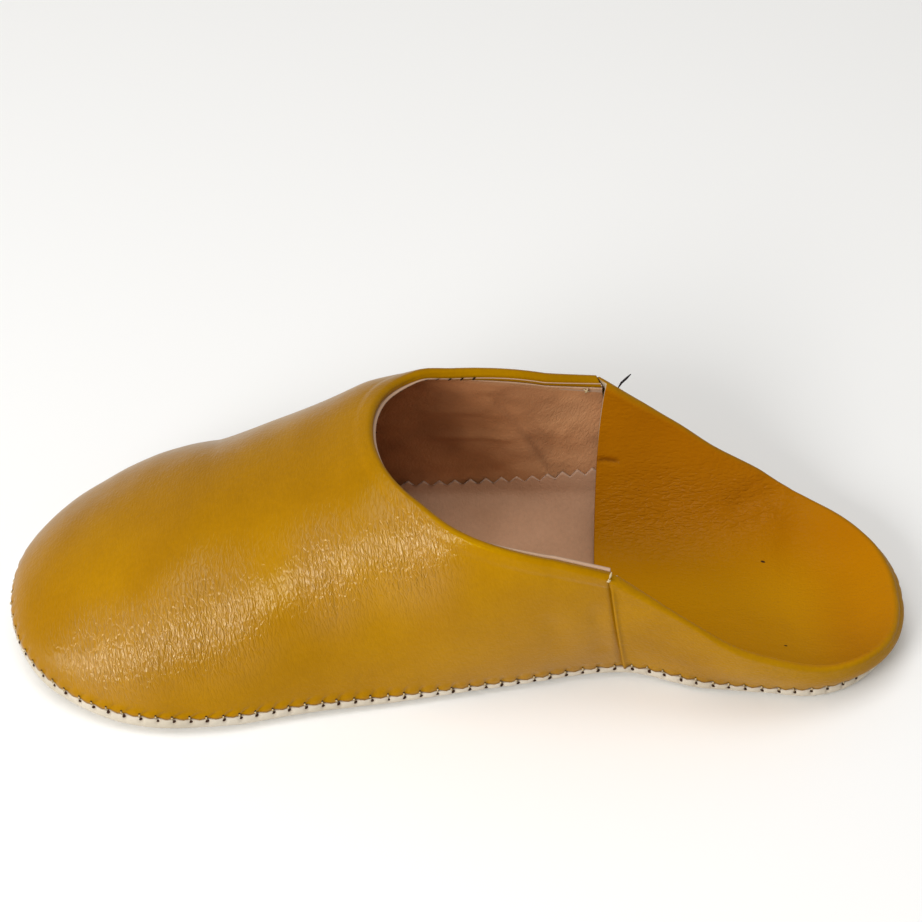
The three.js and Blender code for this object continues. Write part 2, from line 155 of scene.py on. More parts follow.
def oval(t, roundness):
    """Half-width of an oval end at a share t of the way to its tip."""
    return (1 - np.clip(t, 0, 1) ** roundness) ** (1 / roundness)


def mix(a, b, t):
    return a + (b - a) * t


def unit(vectors):
    return vectors / np.maximum(np.linalg.norm(vectors, axis=-1, keepdims=True), 1e-9)


def ease(t):
    """0 to 1 with no kink at either end."""
    t = np.clip(t, 0, 1)
    return t * t * (3 - 2 * t)


def bell(distance, width):
    return np.exp(-((distance / width) ** 2))


def cubic(a, b, c, d, t):
    u = 1 - t
    return u * u * u * a + 3 * u * u * t * b + 3 * u * t * t * c + t * t * t * d


def underside(x):
    """Height of the sole's underside along its middle."""
    from_arch = np.minimum(np.abs(x - ARCH_X) / ARCH_HALF, 1)
    arch = ARCH_HEIGHT * (1 - from_arch**2) ** 2
    toe = TOE_SPRING * (np.maximum(x - TOE_SPRING_X, 0) / (TOE_X - TOE_SPRING_X)) ** 2
    heel = HEEL_SPRING * (np.maximum(HEEL_SPRING_X - x, 0) / (HEEL_SPRING_X - HEEL_X)) ** 2
    return arch + toe + heel


def joint_top(x):
    return along(JOINT, "z", x) + GAP


def collar_wide(x):
    back = np.maximum(COLLAR_CENTRE_X - x, 0) / (COLLAR_CENTRE_X - SEAM_X)
    return mix(COLLAR_HALF, COLLAR_SEAM_HALF, back)


def collar_half(x):
    return collar_wide(x) * oval((x - COLLAR_CENTRE_X) / (THROAT_X - COLLAR_CENTRE_X), COLLAR_ROUNDNESS)


class Rays:
    """Lines from the sole's middle out to the joint, in order round the shoe."""

    def __init__(self, edge, middle):
        self.edge = edge
        self.middle = middle
        self.reach = np.hypot(*(edge - middle).T)

    def at(self, inset, height):
        """Points a distance in from the joint, at a height above the sole's underside."""
        share = np.minimum(inset / self.reach, 1)[:, None]
        flat = mix(self.edge, self.middle, share)
        x = flat[:, 0]
        return np.stack([x, flat[:, 1] + along(JOINT, "bend", x), underside(x) + height], -1)

    def cup(self, inset):
        """Height of the outsole's inner face above the underside."""
        x = self.edge[:, 0]
        rise = along(JOINT, "z", x) - underside(x) - SOLE_WALL
        return SOLE_WALL + rise * (1 - oval(1 - (inset - SOLE_WALL) / (RIM - SOLE_WALL), 2))

    def on_sole(self, inset, height=0):
        """Points at a height above the outsole's inner face."""
        return self.at(inset, self.cup(inset) + height)


def side_rays(x, side):
    return np.stack([x, side * along(JOINT, "half", x)], -1), np.stack([x, 0 * x], -1)


def end_rays(centre, tip, half, angle, side):
    power = 2 / END_ROUNDNESS
    x = centre + np.sin(angle) ** power * (tip - centre)
    y = side * np.maximum(np.cos(angle), 0) ** power * half
    return np.stack([x, y], -1), np.stack([centre + 0 * x, 0 * x], -1)


def rays_round(stations):
    """Rays for places round the joint, from the near seam by the toe or heel to the far seam."""
    return Rays(*(np.concatenate(part) for part in zip(*stations)))


def whole_round(side_step, end_count):
    """Rays all round the sole, starting and ending at the near seam."""
    angle = np.linspace(0, math.pi / 2, end_count)
    fore = np.arange(SEAM_X, BALL_X, side_step)
    back = np.arange(SEAM_X, HEEL_CENTRE_X, -side_step)[1:]
    toe = (BALL_X, TOE_X, BALL_WIDTH / 2)
    heel = (HEEL_CENTRE_X, HEEL_X, HEEL_WIDTH / 2)
    return rays_round(
        [
            side_rays(fore, 1),
            end_rays(*toe, angle, 1),
            end_rays(*toe, angle[::-1][1:], -1),
            side_rays(fore[::-1], -1),
            side_rays(back, -1),
            end_rays(*heel, angle, -1),
            end_rays(*heel, angle[::-1][1:], 1),
            side_rays(back[::-1], 1),
            side_rays(fore[:1], 1),
        ]
    )


def vamp_arch(x, joint, reach, turn):
    """Handles of the vamp's arch as arrays: [along the shoe, sideways, up] at each of 4 points."""
    in_toe = x >= BALL_X
    station = np.minimum(x, BALL_X)
    row = lambda column: along(VAMP, column, station)
    joint_z = joint_top(x)
    widest = along(JOINT, "half", station)
    outward = (row("belly") - widest) / np.hypot(reach, joint)
    handle = row("shoulder") / widest
    lift = mix(TOE_LIFT, SIDE_LIFT, turn**3)
    top_half = collar_wide(station) * ease((THROAT_X - station) / (THROAT_X - COLLAR_CENTRE_X))
    return [
        [x, joint, joint_z],
        [x + outward * reach, joint * (1 + outward), np.where(in_toe, joint_z + lift, row("belly_z"))],
        [
            x - reach * (1 - handle),
            np.where(in_toe, joint * handle, row("shoulder")),
            row("shoulder_z") + CROWN_SLOPE * reach * handle,
        ],
        [x - reach, top_half, row("rim")],
    ]


def collar_share(x):
    """Share of the arch that is left below the collar's edge at each place along the shoe."""
    arch = vamp_arch(x, along(JOINT, "half", x), 0 * x, 1 + 0 * x)
    edge = collar_half(x)
    out = lambda t: cubic(*(point[1] for point in arch), t)
    share = np.ones_like(x)
    short = np.ones(x.shape, bool)
    for t in np.linspace(1, 0, 101):
        short = short & (out(t) < edge)
        share = np.where(short, t - 0.01, share)
    share = np.where(share <= 0, 1, share)
    past = np.minimum(share + 0.01, 1)
    for _ in range(20):
        middle = (share + past) / 2
        short = out(middle) < edge
        past = np.where(short, middle, past)
        share = np.where(short, share, middle)
    return share


def vamp_point(x, q):
    """Point on the vamp's curve at a station along the shoe; q is 0 at the crown and 1 or -1 at
    the joint. Ahead of the ball the stations fan out round the toe."""
    power = 2 / END_ROUNDNESS
    ahead = np.maximum(x - BALL_X, 0) / (TOE_X - BALL_X)
    t = 1 - np.hypot(ahead, q)
    angle = np.arctan2(ahead, np.abs(q))
    turn = np.cos(angle)
    in_toe = x > BALL_X
    edge_x = np.where(in_toe, BALL_X + np.sin(angle) ** power * (TOE_X - BALL_X), x)
    joint = np.where(in_toe, turn**power * BALL_WIDTH / 2, along(JOINT, "half", x))
    reach = np.where(in_toe, edge_x - BALL_X, 0)
    arch = vamp_arch(edge_x, joint, reach, turn)
    share = collar_share(np.minimum(edge_x, THROAT_X + 1))
    behind = ease((THROAT_X - edge_x) / THROAT_BLEND)
    rest = cubic(arch[0][2], arch[1][2], arch[2][2], 0, share)
    for_rim = (arch[3][2] - rest) / share**3
    arch[3][2] = mix(arch[3][2], for_rim, behind)
    height = t / share
    station = np.minimum(edge_x, BALL_X)
    low = along(JOINT, "bend", edge_x)
    high = mix(low, along(VAMP, "bend", station), mix(share, 1, behind))
    lean = SEAM_LEAN * (np.maximum(-station, 0) / -SEAM_X) ** 1.5
    px, py, pz = (cubic(*(point[k] for point in arch), t) for k in range(3))
    side = np.where(q < 0, -1, 1)
    return np.stack([px + lean * height, side * py + mix(low, high, height), pz], -1)


def noise(points, size, seed):
    """Smooth random values from -1 to 1 in lumps of a size in millimetres."""
    p = points / np.asarray(size, float) + seed * 7.31
    cell = np.floor(p)
    f = p - cell
    f = f * f * (3 - 2 * f)
    total = 0
    for corner in product((0, 1), repeat=3):
        wave = np.sin((cell + corner) @ np.array([127.1, 311.7, 74.7]) + seed) * 43758.5453
        weight = np.prod(np.where(corner, f, 1 - f), axis=-1)
        total = total + weight * (2 * (wave - np.floor(wave)) - 1)
    return total


def length_along(points):
    """Running length of a row of points."""
    steps = np.linalg.norm(np.diff(points, axis=0), axis=-1)
    return np.concatenate([[0], np.cumsum(steps)])


def grid_normals(grid, place, axis):
    """Unit normals of a grid of points, on the side where the one at a place goes up an axis."""
    normal = unit(np.cross(np.gradient(grid, axis=0), np.gradient(grid, axis=1)))
    return normal if normal[place][axis] > 0 else -normal


# Meshes
def grid_faces(rows, columns, start=0):
    index = start + np.arange(rows * columns).reshape(rows, columns)
    return np.stack([index[:-1, :-1], index[:-1, 1:], index[1:, 1:], index[1:, :-1]], -1).reshape(-1, 4)


def make_object(name, points, faces, node, material, facts=None):
    """A smooth mesh piece in the frame, standing for a CAD node."""
    mesh = bpy.data.meshes.new(name)
    mesh.from_pydata(((points + TO_FRAME) / 1000).tolist(), [], [list(face) for face in faces])
    mesh.shade_smooth()
    for key, values in (facts or {}).items():
        attribute = mesh.attributes.new(key, "FLOAT", "POINT")
        attribute.data.foreach_set("value", np.asarray(values, np.float32).ravel())
    mesh.materials.append(material)
    obj = bpy.data.objects.new(name, mesh)
    bpy.context.scene.collection.objects.link(obj)
    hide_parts(node)
    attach(obj, "root")


def make_grid(name, grid, node, material, facts=None, flip=False):
    faces = grid_faces(*grid.shape[:2])
    if flip:
        faces = faces[:, ::-1]
    make_object(name, grid.reshape(-1, 3), faces, node, material, facts)


# Materials
class Surface:
    """A material whose look is built up from textures laid in the shoe's own space."""

    def __init__(self, name):
        self.material = bpy.data.materials.new(name)
        self.material.use_nodes = True
        self.nodes = self.material.node_tree.nodes
        self.links = self.material.node_tree.links
        self.shader = self.nodes["Principled BSDF"]
        self.place = self.nodes.new("ShaderNodeTexCoord").outputs["Object"]
        self.bumps = None

    def feed(self, node, inputs):
        """Set a node's inputs to values, or link them to the outputs of other nodes."""
        for key, value in inputs.items():
            if isinstance(value, bpy.types.NodeSocket):
                self.links.new(value, node.inputs[key])
            else:
                node.inputs[key].default_value = value

    def add(self, kind, inputs):
        node = self.nodes.new(kind)
        self.feed(node, inputs)
        return node

    def texture(self, kind, size_mm, lean):
        lay = self.nodes.new("ShaderNodeMapping")
        lay.vector_type = "TEXTURE"
        size = size_mm if isinstance(size_mm, tuple) else (size_mm,) * 3
        self.feed(lay, {"Vector": self.place, "Rotation": (0, lean, 0), "Scale": size})
        return self.add(kind, {"Vector": lay.outputs["Vector"], "Scale": 1000})

    def clouds(self, size_mm, detail=4.0, warp=0.0, lean=0.0):
        """Soft random patches."""
        node = self.texture("ShaderNodeTexNoise", size_mm, lean)
        self.feed(node, {"Detail": detail, "Distortion": warp / 1000})
        return node.outputs["Fac"]

    def cells(self, size_mm, feature, lean=0.0):
        """A pattern of cells, as distances."""
        node = self.texture("ShaderNodeTexVoronoi", size_mm, lean)
        node.feature = feature
        return node.outputs["Distance"]

    def fact(self, key):
        node = self.nodes.new("ShaderNodeAttribute")
        node.attribute_name = key
        return node.outputs["Fac"]

    def ramp(self, source, stops):
        node = self.add("ShaderNodeValToRGB", {0: source})
        while len(node.color_ramp.elements) < len(stops):
            node.color_ramp.elements.new(0.5)
        for element, (at, colour) in zip(node.color_ramp.elements, stops):
            element.position = at
            element.color = (*colour, 1)
        return node.outputs["Color"]

    def blend(self, a, b, factor, kind="MIX"):
        node = self.nodes.new("ShaderNodeMix")
        node.data_type = "RGBA"
        node.blend_type = kind
        self.feed(node, {0: factor, 6: a, 7: b})
        return node.outputs[2]

    def bump(self, height, depth_mm, strength=1.0):
        """Relief on top of the relief so far, for the leather and for its clear coat."""
        inputs = {"Height": height, "Distance": depth_mm / 1000, "Strength": strength}
        if self.bumps:
            inputs["Normal"] = self.bumps
        self.bumps = self.add("ShaderNodeBump", inputs).outputs["Normal"]
        self.feed(self.shader, {"Normal": self.bumps, "Coat Normal": self.bumps})

    def gloss(self, low, high, size_mm):
        inputs = {"Value": self.clouds(size_mm), "To Min": low, "To Max": high}
        grade = self.add("ShaderNodeMapRange", inputs)
        self.feed(self.shader, {"Roughness": grade.outputs["Result"]})

    def wrinkles(self, size_mm, lean, depth_mm):
        """Fine folds and the cracks between them, where the mesh's wrinkle fact is high."""
        self.bump(self.clouds(size_mm, 2.5, 0.8, lean), depth_mm, self.fact("wrinkle"))
        crack_size = tuple(1.3 * part for part in size_mm)
        cracks = self.cells(crack_size, "DISTANCE_TO_EDGE", lean)
        edge = self.add("ShaderNodeMapRange", {"Value": cracks, "From Max": 0.16})
        edge.interpolation_type = "SMOOTHSTEP"
        self.bump(edge.outputs["Result"], depth_mm * 0.22, self.fact("wrinkle"))

    def sheen(self, extra, tint, refraction):
        """A clear coat on wrinkled places, and how the leather itself reflects."""
        shine = self.add("ShaderNodeMath", {0: self.fact("wrinkle"), 1: extra, 2: extra * -0.07})
        shine.operation = "MULTIPLY_ADD"
        shine.use_clamp = True
        self.feed(self.shader, {"Coat Weight": shine.outputs[0], "Coat Roughness": 0.15})
        self.feed(self.shader, {"IOR": refraction, "Specular Tint": (*tint, 1)})


def leather(name, colours, grain, roughness, shades, wrinkle, sheen=(0, (1, 1, 1), 1.25)):
    """Leather: patchy colour, a fine pebbled grain and an uneven gloss.

    colours are those of its dark, middle and light patches, and shades the tints of the places
    that the mesh's facts mark. grain is the size and depth of a pebble in millimetres, wrinkle the
    size of one fine wrinkle along each axis, its lean and its depth, and sheen the extra gloss of
    wrinkled places, the tint of reflections and the index of refraction.
    """
    surface = Surface(name)
    patches = surface.clouds(30, 5.0, 0.6)
    colour = surface.ramp(patches, list(zip((0.3, 0.5, 0.72), colours)))
    speckle = surface.ramp(surface.clouds(1.4, 3.0), [(0.35, (0.88,) * 3), (0.65, (1.0,) * 3)])
    colour = surface.blend(colour, speckle, 0.5, "MULTIPLY")
    for key, tint in shades:
        colour = surface.blend(colour, (*tint, 1), surface.fact(key))
    surface.feed(surface.shader, {"Base Color": colour})
    surface.gloss(*roughness, 9)
    size, depth = grain
    surface.bump(surface.cells(size, "SMOOTH_F1"), depth)
    surface.bump(surface.clouds(size * 0.5, 3.0), depth * 0.6)
    surface.bump(surface.clouds(5, 5.0, 1.5), depth * 2.5)
    surface.wrinkles(*wrinkle)
    surface.sheen(*sheen)
    return surface.material


def plain(name, colour, roughness):
    """One even colour, for thread, a cut edge, dark specks and the painted shade of a hole."""
    surface = Surface(name)
    inputs = {"Base Color": (*colour, 1), "Roughness": roughness, "Specular IOR Level": 0.2}
    surface.feed(surface.shader, inputs)
    return surface.material


# Painted shade for the vamp's hem where it turns into the joint, and for its ends at the seams
PAINTED_SEAM_SHADE = (0.10, 0.035, 0.004)
YELLOW = leather(
    "glazed_yellow_leather",
    [(0.30, 0.132, 0.0004), (0.335, 0.150, 0.0005), (0.37, 0.171, 0.0006)],
    grain=(0.9, 0.05),
    roughness=(0.25, 0.37),
    sheen=(0.85, (1.0, 0.86, 0.0), 1.32),
    shades=[("painted_shade_and_mottle", PAINTED_SEAM_SHADE)],
    wrinkle=((0.8, 2.8, 2.8), 0.22, 0.5),
)
QUARTER_YELLOW = leather(
    "quarter_yellow_leather",
    [(0.31, 0.141, 0.0006), (0.35, 0.163, 0.001), (0.39, 0.188, 0.0015)],
    grain=(0.9, 0.09),
    roughness=(0.42, 0.56),
    sheen=(0.1, (1.0, 0.8, 0.0), 1.22),
    shades=[
        ("warm", (0.375, 0.122, 0.0004)),
        # painted highlight on the near fold's crest, and painted light on the flap's lit side
        ("ridge", (0.54, 0.245, 0.002)),
        # painted shade in the seams, under the turned edges, beside the flap's edge, in a crease and over
        # the far flap's top
        ("painted_shade_and_mottle", (0.07, 0.012, 0.006)),
        ("cut", (0.52, 0.46, 0.34)),
    ],
    wrinkle=((2.8, 0.9, 0.9), 0.0, 0.42),
)
LINING = leather(
    "tan_lining_leather",
    [(0.36, 0.14, 0.045), (0.46, 0.19, 0.072), (0.55, 0.24, 0.10)],
    grain=(0.7, 0.1),
    roughness=(0.6, 0.75),
    shades=[
        # a paler strip under the collar's edge, and painted light growing towards the back, away from the
        # throat's shade
        ("pale", (0.63, 0.36, 0.18)),
        # painted shadow beside the overlap on the far wall, and random mottling
        ("painted_shade_and_mottle", (0.14, 0.045, 0.018)),
        ("cut", (0.80, 0.58, 0.40)),
    ],
    wrinkle=((0.9, 0.9, 2.2), -0.45, 0.24),
)
INSOLE = leather(
    "pink_beige_insole_leather",
    [(0.50, 0.28, 0.16), (0.575, 0.33, 0.195), (0.64, 0.38, 0.235)],
    grain=(0.8, 0.07),
    roughness=(0.6, 0.75),
    # the dark tint is painted shadow behind the pinked edges
    shades=[("cut", (0.56, 0.42, 0.32)), ("painted_shade_and_mottle", (0.22, 0.12, 0.075))],
    wrinkle=((1.2, 3.0, 1.2), 0.5, 0.25),
)
SOLE = leather(
    "cream_sole_leather",
    [(0.49, 0.43, 0.33), (0.57, 0.505, 0.405), (0.65, 0.59, 0.485)],
    grain=(1.1, 0.02),
    roughness=(0.5, 0.68),
    # the first tint is painted shade in the stitch dimples and on the rows inside the rim
    shades=[("painted_shade_and_mottle", (0.26, 0.17, 0.10)), ("smudge", (0.30, 0.26, 0.22))],
    wrinkle=((6, 6, 1.5), 0.0, 0.2),
)
CUT_EDGE = plain("cut_lining_edge", (0.50, 0.33, 0.22), 0.8)
THREAD = plain("cream_thread", (0.50, 0.39, 0.22), 0.8)
DARK_THREAD = plain("dark_thread", (0.012, 0.008, 0.01), 0.7)
# Painted shade standing in for stitch holes and notches; it also colours the dark specks on the flap
HOLE_SHADE_AND_SPECKS = plain("painted_hole_shade_and_specks", (0.03, 0.01, 0.003), 0.9)


# Small pieces
def discs(centres, normals, long_axes, radii):
    """Small low domes laid on a surface: their points and faces, joined."""
    ring = 12
    side_axes = unit(np.cross(normals, long_axes))
    points, faces = [], []
    for centre, normal, ahead, side, (length, width) in zip(centres, normals, long_axes, side_axes, radii):
        start = len(points) + 1
        points.append(centre + normal * 0.09)
        for angle in np.arange(ring) / ring * 2 * math.pi:
            flat = ahead * length * math.cos(angle) + side * width * math.sin(angle)
            points.append(centre + flat + normal * 0.01)
        faces += [(start - 1, start + i, start + (i + 1) % ring) for i in range(ring)]
    return np.array(points), np.array(faces)


def tubes(paths, radius):
    """Round threads along paths of points, thin at both ends: their points and faces, joined."""
    ring = 8
    points, faces = [], []
    for path in paths:
        path = np.asarray(path, float)
        ahead = unit(np.gradient(path, axis=0))
        side = unit(np.cross(ahead, [0.31, 0.17, 0.93]))
        other = np.cross(ahead, side)
        width = radius * np.ones(len(path))
        width[[0, -1]] = radius * 0.45
        start = len(points)
        for k in range(len(path)):
            for i in range(ring):
                angle = i / ring * 2 * math.pi
                points.append(path[k] + width[k] * (side[k] * math.cos(angle) + other[k] * math.sin(angle)))
        faces += grid_faces(len(path), ring, start).tolist()
        for a in range(start, start + ring * (len(path) - 1), ring):
            b = a + ring
            faces.append([b - 1, a, b, b + ring - 1])
        faces.append(list(range(start + ring - 1, start + 3, -1)))
    return np.array(points), faces


def crease(points, path, width):
    """How near each point lies to a crease drawn through a few places on the surface: 1 on it."""
    path = np.asarray(path, float)
    nearest = np.full(points.shape[:-1], 1e9)
    for a, b in zip(path, path[1:]):
        share = np.clip(((points - a) @ (b - a)) / ((b - a) @ (b - a)), 0, 1)
        gap = np.linalg.norm(points - (a + share[..., None] * (b - a)), axis=-1)
        nearest = np.minimum(nearest, gap)
    ends = np.minimum(np.linalg.norm(points - path[0], axis=-1), np.linalg.norm(points - path[-1], axis=-1))
    return bell(nearest, width) * ease(ends / (3 * width) + 0.15)


def patch(points, centre, size):
    """Soft-edged region of a surface: 1 at its centre."""
    return np.exp(-((((points - centre) / size) ** 2).sum(-1)) ** 1.5)


# Stitches along the joint
STITCH_PITCH = 4.85


def stitch_near(run):
    """1 at each stitch, falling to 0 half-way to the next."""
    return 1 - np.abs((run / STITCH_PITCH) % 1 - 0.5) * 2


def stitch_places(length):
    return (np.arange(int(length / STITCH_PITCH)) + 0.5) * STITCH_PITCH


def stitch_pull(run, up, puff):
    """Dimples under the stitches and the swelling between them, as heights."""
    at_stitch = stitch_near(run)
    pinch = -0.45 * ease((at_stitch - 0.55) / 0.45) * bell(up - 1.6, 1.4)
    return pinch + puff * (1 - at_stitch) * bell(up - 0.9, 1.5)


def sewn_hem(edge, facing, run):
    """Rows that turn the upper's foot in, scalloped between the stitches."""
    scallop = (0.75 * stitch_near(run) - 0.4)[:, None] * [0, 0, 1]
    return [
        edge + facing * 0.1 + scallop - [0, 0, 0.1],
        edge - facing * 0.35 + scallop - [0, 0, 0.35],
        edge - facing * 1.2 - [0, 0, 0.25],
        edge - facing * 1.9 + [0, 0, 0.3],
    ]


# Vamp
CREST = (VAMP_WALL + 2 * ROLL) / 2
TURNED_EDGE = 3.1
LINING_EDGE = 2.4
SEAM_STEPS = [0, 0.2, 0.45, 0.75, 1.1, 1.5, 2]
JOINT_STEP = 0.68
END_CUT = 1.8
COLLAR_PITCH = 3.8
NOTCHES_END_X = -5.5

# Distances from the collar, and from the joint, of the closest points of each line of the vamp;
# its outer face ends at the crest's step, where the rolled edge begins
COLLAR_STEPS = [0, 0.4, 0.8, 1.2, CREST, 2, 2.5, 3.1, 3.8, 4.6, 5.5]
FOOT_STEPS = [4, 3.4, 2.9, 2.4, 1.9, 1.5, 1.1, 0.75, 0.4, 0]
CREST_STEP = COLLAR_STEPS.index(CREST)

# Fine wrinkles of the vamp: middle of each patch, its half-size and how strong it is
VAMP_WRINKLES = [
    ((101, 43, 24), (20, 15, 15), 1.0),
    ((71, 41, 35), (19, 18, 18), 0.9),
    ((36, 36, 48), (12, 17, 16), 0.85),
    ((13, 35, 56), (14, 20, 17), 0.9),
    ((60, 10, 55), (45, 40, 30), 0.12),
]

# Creases of the vamp that can be told apart: places along each, its half-width and its depth
VAMP_CREASES = [
    ([(96, 44, 27), (95.5, 48, 20), (96, 51.5, 12)], 1.0, 0.35),
    ([(103, 40, 25), (101, 45, 20), (100, 48, 15)], 1.2, 0.3),
    ([(91, 42, 29), (89.5, 47, 22)], 1.1, 0.25),
    ([(108, 36, 24), (106, 42, 19)], 1.2, 0.25),
    ([(70, 36, 38), (68, 43, 30)], 1.3, 0.25),
    ([(37, 30, 53), (35, 37, 47), (33, 42, 39)], 1.2, 0.3),
    ([(33, 30, 54), (31.5, 37, 48)], 1.1, 0.25),
    ([(12, 30, 60), (9, 37, 54), (6, 42, 46)], 1.3, 0.3),
    ([(18, 26, 63), (15, 33, 59), (12, 39, 52)], 1.4, 0.25),
    ([(-26, 44, 40), (-30, 44, 28), (-33, 41, 16)], 4, 0.7),
    ([(-40, 43, 44), (-42, 40, 26), (-44, 37, 14)], 3, 0.5),
]


def vamp_joint_places(share):
    """Stations (x, q) of the joint, for shares of its length from the near seam to the far one."""
    round_toe = BALL_X + (TOE_X - BALL_X) * np.sin(np.linspace(0, math.pi / 2, 400))[1:]
    x = np.concatenate([np.linspace(SEAM_X, BALL_X, 400), round_toe])
    ahead = np.maximum(x - BALL_X, 0) / (TOE_X - BALL_X)
    return there_and_back(x, np.sqrt(np.maximum(1 - ahead**2, 0)), share)


def vamp_collar_places(share):
    x = mix(SEAM_X, THROAT_X, np.sin(np.linspace(0, math.pi / 2, 500)))
    return there_and_back(x, np.maximum(1 - collar_share(x), 1e-9), share)


def there_and_back(x, q, share):
    """Places at shares of the length of a line along the near side and back along the far one."""
    x = np.concatenate([x, x[::-1][1:]])
    q = np.concatenate([q, -q[::-1][1:]])
    run = length_along(vamp_point(x, q))
    at = share * run[-1]
    return np.stack([np.interp(at, run, x), np.interp(at, run, q)], -1), run[-1]


def vamp_lines():
    """Shares of the joint's length at which the vamp's lines end, closest at the two seams."""
    _, length = vamp_joint_places(np.linspace(0, 1, 3))
    start = np.array(SEAM_STEPS) / length
    middle = np.linspace(start[-1], 1 - start[-1], round(length / JOINT_STEP))[1:-1]
    return np.concatenate([start, middle, 1 - start[::-1]])


def vamp_sheet():
    """The vamp's curve as a grid: lines from the collar out to the joint, and how far down each
    line a point lies from the collar and up from the joint."""
    a = vamp_lines()
    half = np.minimum(a, 1 - a) * 2
    fanned = 0.35 * half + 0.65 * (1 - (1 - half) ** 2.2)
    collar, _ = vamp_collar_places(np.where(a < 0.5, fanned, 2 - fanned) / 2)
    joint, joint_length = vamp_joint_places(a)
    scale = np.array([1, 75])
    throat = THROAT_X - COLLAR_CENTRE_X
    ahead = np.clip((collar[:, 0] - COLLAR_CENTRE_X) / throat, 0, 1)
    aside = oval(ahead, COLLAR_ROUNDNESS) * np.where(a < 0.5, 1, -1)
    outward = unit(np.stack([ahead * COLLAR_HALF, aside * throat], -1))
    span = np.linalg.norm((joint - collar) * scale, axis=-1, keepdims=True)
    start = collar + outward * span * 0.3 / scale
    end = mix(joint, collar, 0.3)
    t = np.linspace(0, 1, 140)[None, :, None]
    places = cubic(collar[:, None], start[:, None], end[:, None], joint[:, None], t)
    grid, down, up = [], [], []
    for line in vamp_point(places[..., 0], places[..., 1]):
        run = length_along(line)
        foot = run[-1] - np.array(FOOT_STEPS)
        middle = np.linspace(COLLAR_STEPS[-1], foot[0], 100)[1:-1]
        at = np.concatenate([COLLAR_STEPS, middle, foot])
        grid.append(np.stack([np.interp(at, run, line[:, k]) for k in range(3)], -1))
        down.append(at)
        up.append(run[-1] - at)
    return np.array(grid), np.array(down), np.array(up), a * joint_length


def vamp_relief(sheet, down, up, run, seam):
    """Soft undulations, creases and the pull of the stitches, as heights above the curve."""
    quiet = ease(down / 8) * ease(up / 4)
    tilted = sheet.copy()
    tilted[..., 0] -= 0.22 * sheet[..., 2]
    swell = 0.35 * noise(sheet, 26, 3) + 0.22 * noise(tilted, [9, 24, 24], 5)
    fine = 0.06 * noise(tilted, [2.6, 9, 9], 8) * wrinkled(sheet, VAMP_WRINKLES, 0.3)
    folds = sum(-depth * crease(sheet, path, width) for path, width, depth in VAMP_CREASES)
    fall = -0.75 * (1 - ease(seam / 2.6)) * ease(down / 4)
    return (swell + fine + folds) * quiet + stitch_pull(run, up, 0.35) + fall


def wrinkled(points, patches, least=0.0):
    return np.clip(least + sum(strength * patch(points, *where) for *where, strength in patches), 0, 1)


# Creases of the lining on the far wall, as places (x, height) along each
LINING_OVERLAP = [(-10, 49), (-17, 38.8), (-23.3, 28.3), (-29.3, 18)]
LINING_FOLDS = [
    ([(9, 29), (4.3, 29.1), (-9.3, 30.7), (-20.2, 30.2)], 1.5, 0.5),
    ([(12, 39), (7.5, 39.6), (-4, 41), (-12, 41.9)], 2.0, 0.5),
    ([(-27, 37), (-29, 34.3), (-33.7, 40.9), (-36, 37), (-39.3, 41.6)], 1.8, 0.22),
    ([(-25, 40), (-28, 34), (-30.5, 26)], 1.6, 0.4),
    ([(-33, 36), (-34, 30), (-36, 24)], 1.4, 0.4),
]


def wall_crease(points, path, width):
    """How near each point lies to a crease on a side wall, whatever its sideways place."""
    return crease(points * [1, 0, 1], [(x, 0, z) for x, z in path], width)


def lining_relief(sheet, down):
    folds = 0.5 * noise(sheet, [14, 14, 10], 11) + 0.22 * noise(sheet, [5, 5, 4], 12)
    folds = folds + sum(depth * wall_crease(sheet, path, width) for path, width, depth in LINING_FOLDS)
    far = sheet[..., 1] < 0
    return np.where(far, folds - overlap_step(sheet), folds) * ease(down / 7)


def overlap_step(sheet):
    """The lining doubles over along a slanting line and drops off behind it."""
    (ax, az), (bx, bz) = LINING_OVERLAP[0], LINING_OVERLAP[-1]
    length = math.hypot(bx - ax, bz - az)
    along_it = ((sheet[..., 0] - ax) * (bx - ax) + (sheet[..., 2] - az) * (bz - az)) / length
    beyond = ((sheet[..., 0] - ax) * (bz - az) - (sheet[..., 2] - az) * (bx - ax)) / length
    beyond = beyond - 1.2 * np.sin(along_it / length * math.pi)
    step = np.where(beyond > 0, 0.75 * np.exp(-beyond / 9), -0.2 * np.exp(beyond / 5))
    step = np.where(np.abs(beyond) < 0.6, mix(-0.2, 0.75, ease((beyond + 0.6) / 1.2)), step)
    return step * ease((along_it + 3) / 6) * ease((length + 6 - along_it) / 6)


def rolled_crest(sheet, normal, upward):
    """Rows over the collar's rolled edge, with a shallow furrow on its inner side."""
    centre = sheet[:, CREST_STEP] - normal[:, CREST_STEP] * (VAMP_WALL / 2)
    rows = []
    for angle in np.radians(np.arange(15, 181, 15)):
        size = CREST - 0.22 * bell(angle - 1.9, 0.28)
        out = normal[:, CREST_STEP] * math.cos(angle) + upward * math.sin(angle)
        rows.append(centre + size * out)
    return rows


def cut_far_end(grid, start):
    """Cut the far end of the rolled edge slantwise, where it meets the quarter."""
    for k, place in enumerate(range(start, grid.shape[1])):
        back = END_CUT * max(1 - k / 16, 0)
        for line in range(5):
            grid[-1 - line, place, 0] += back * (1 - line / 5)


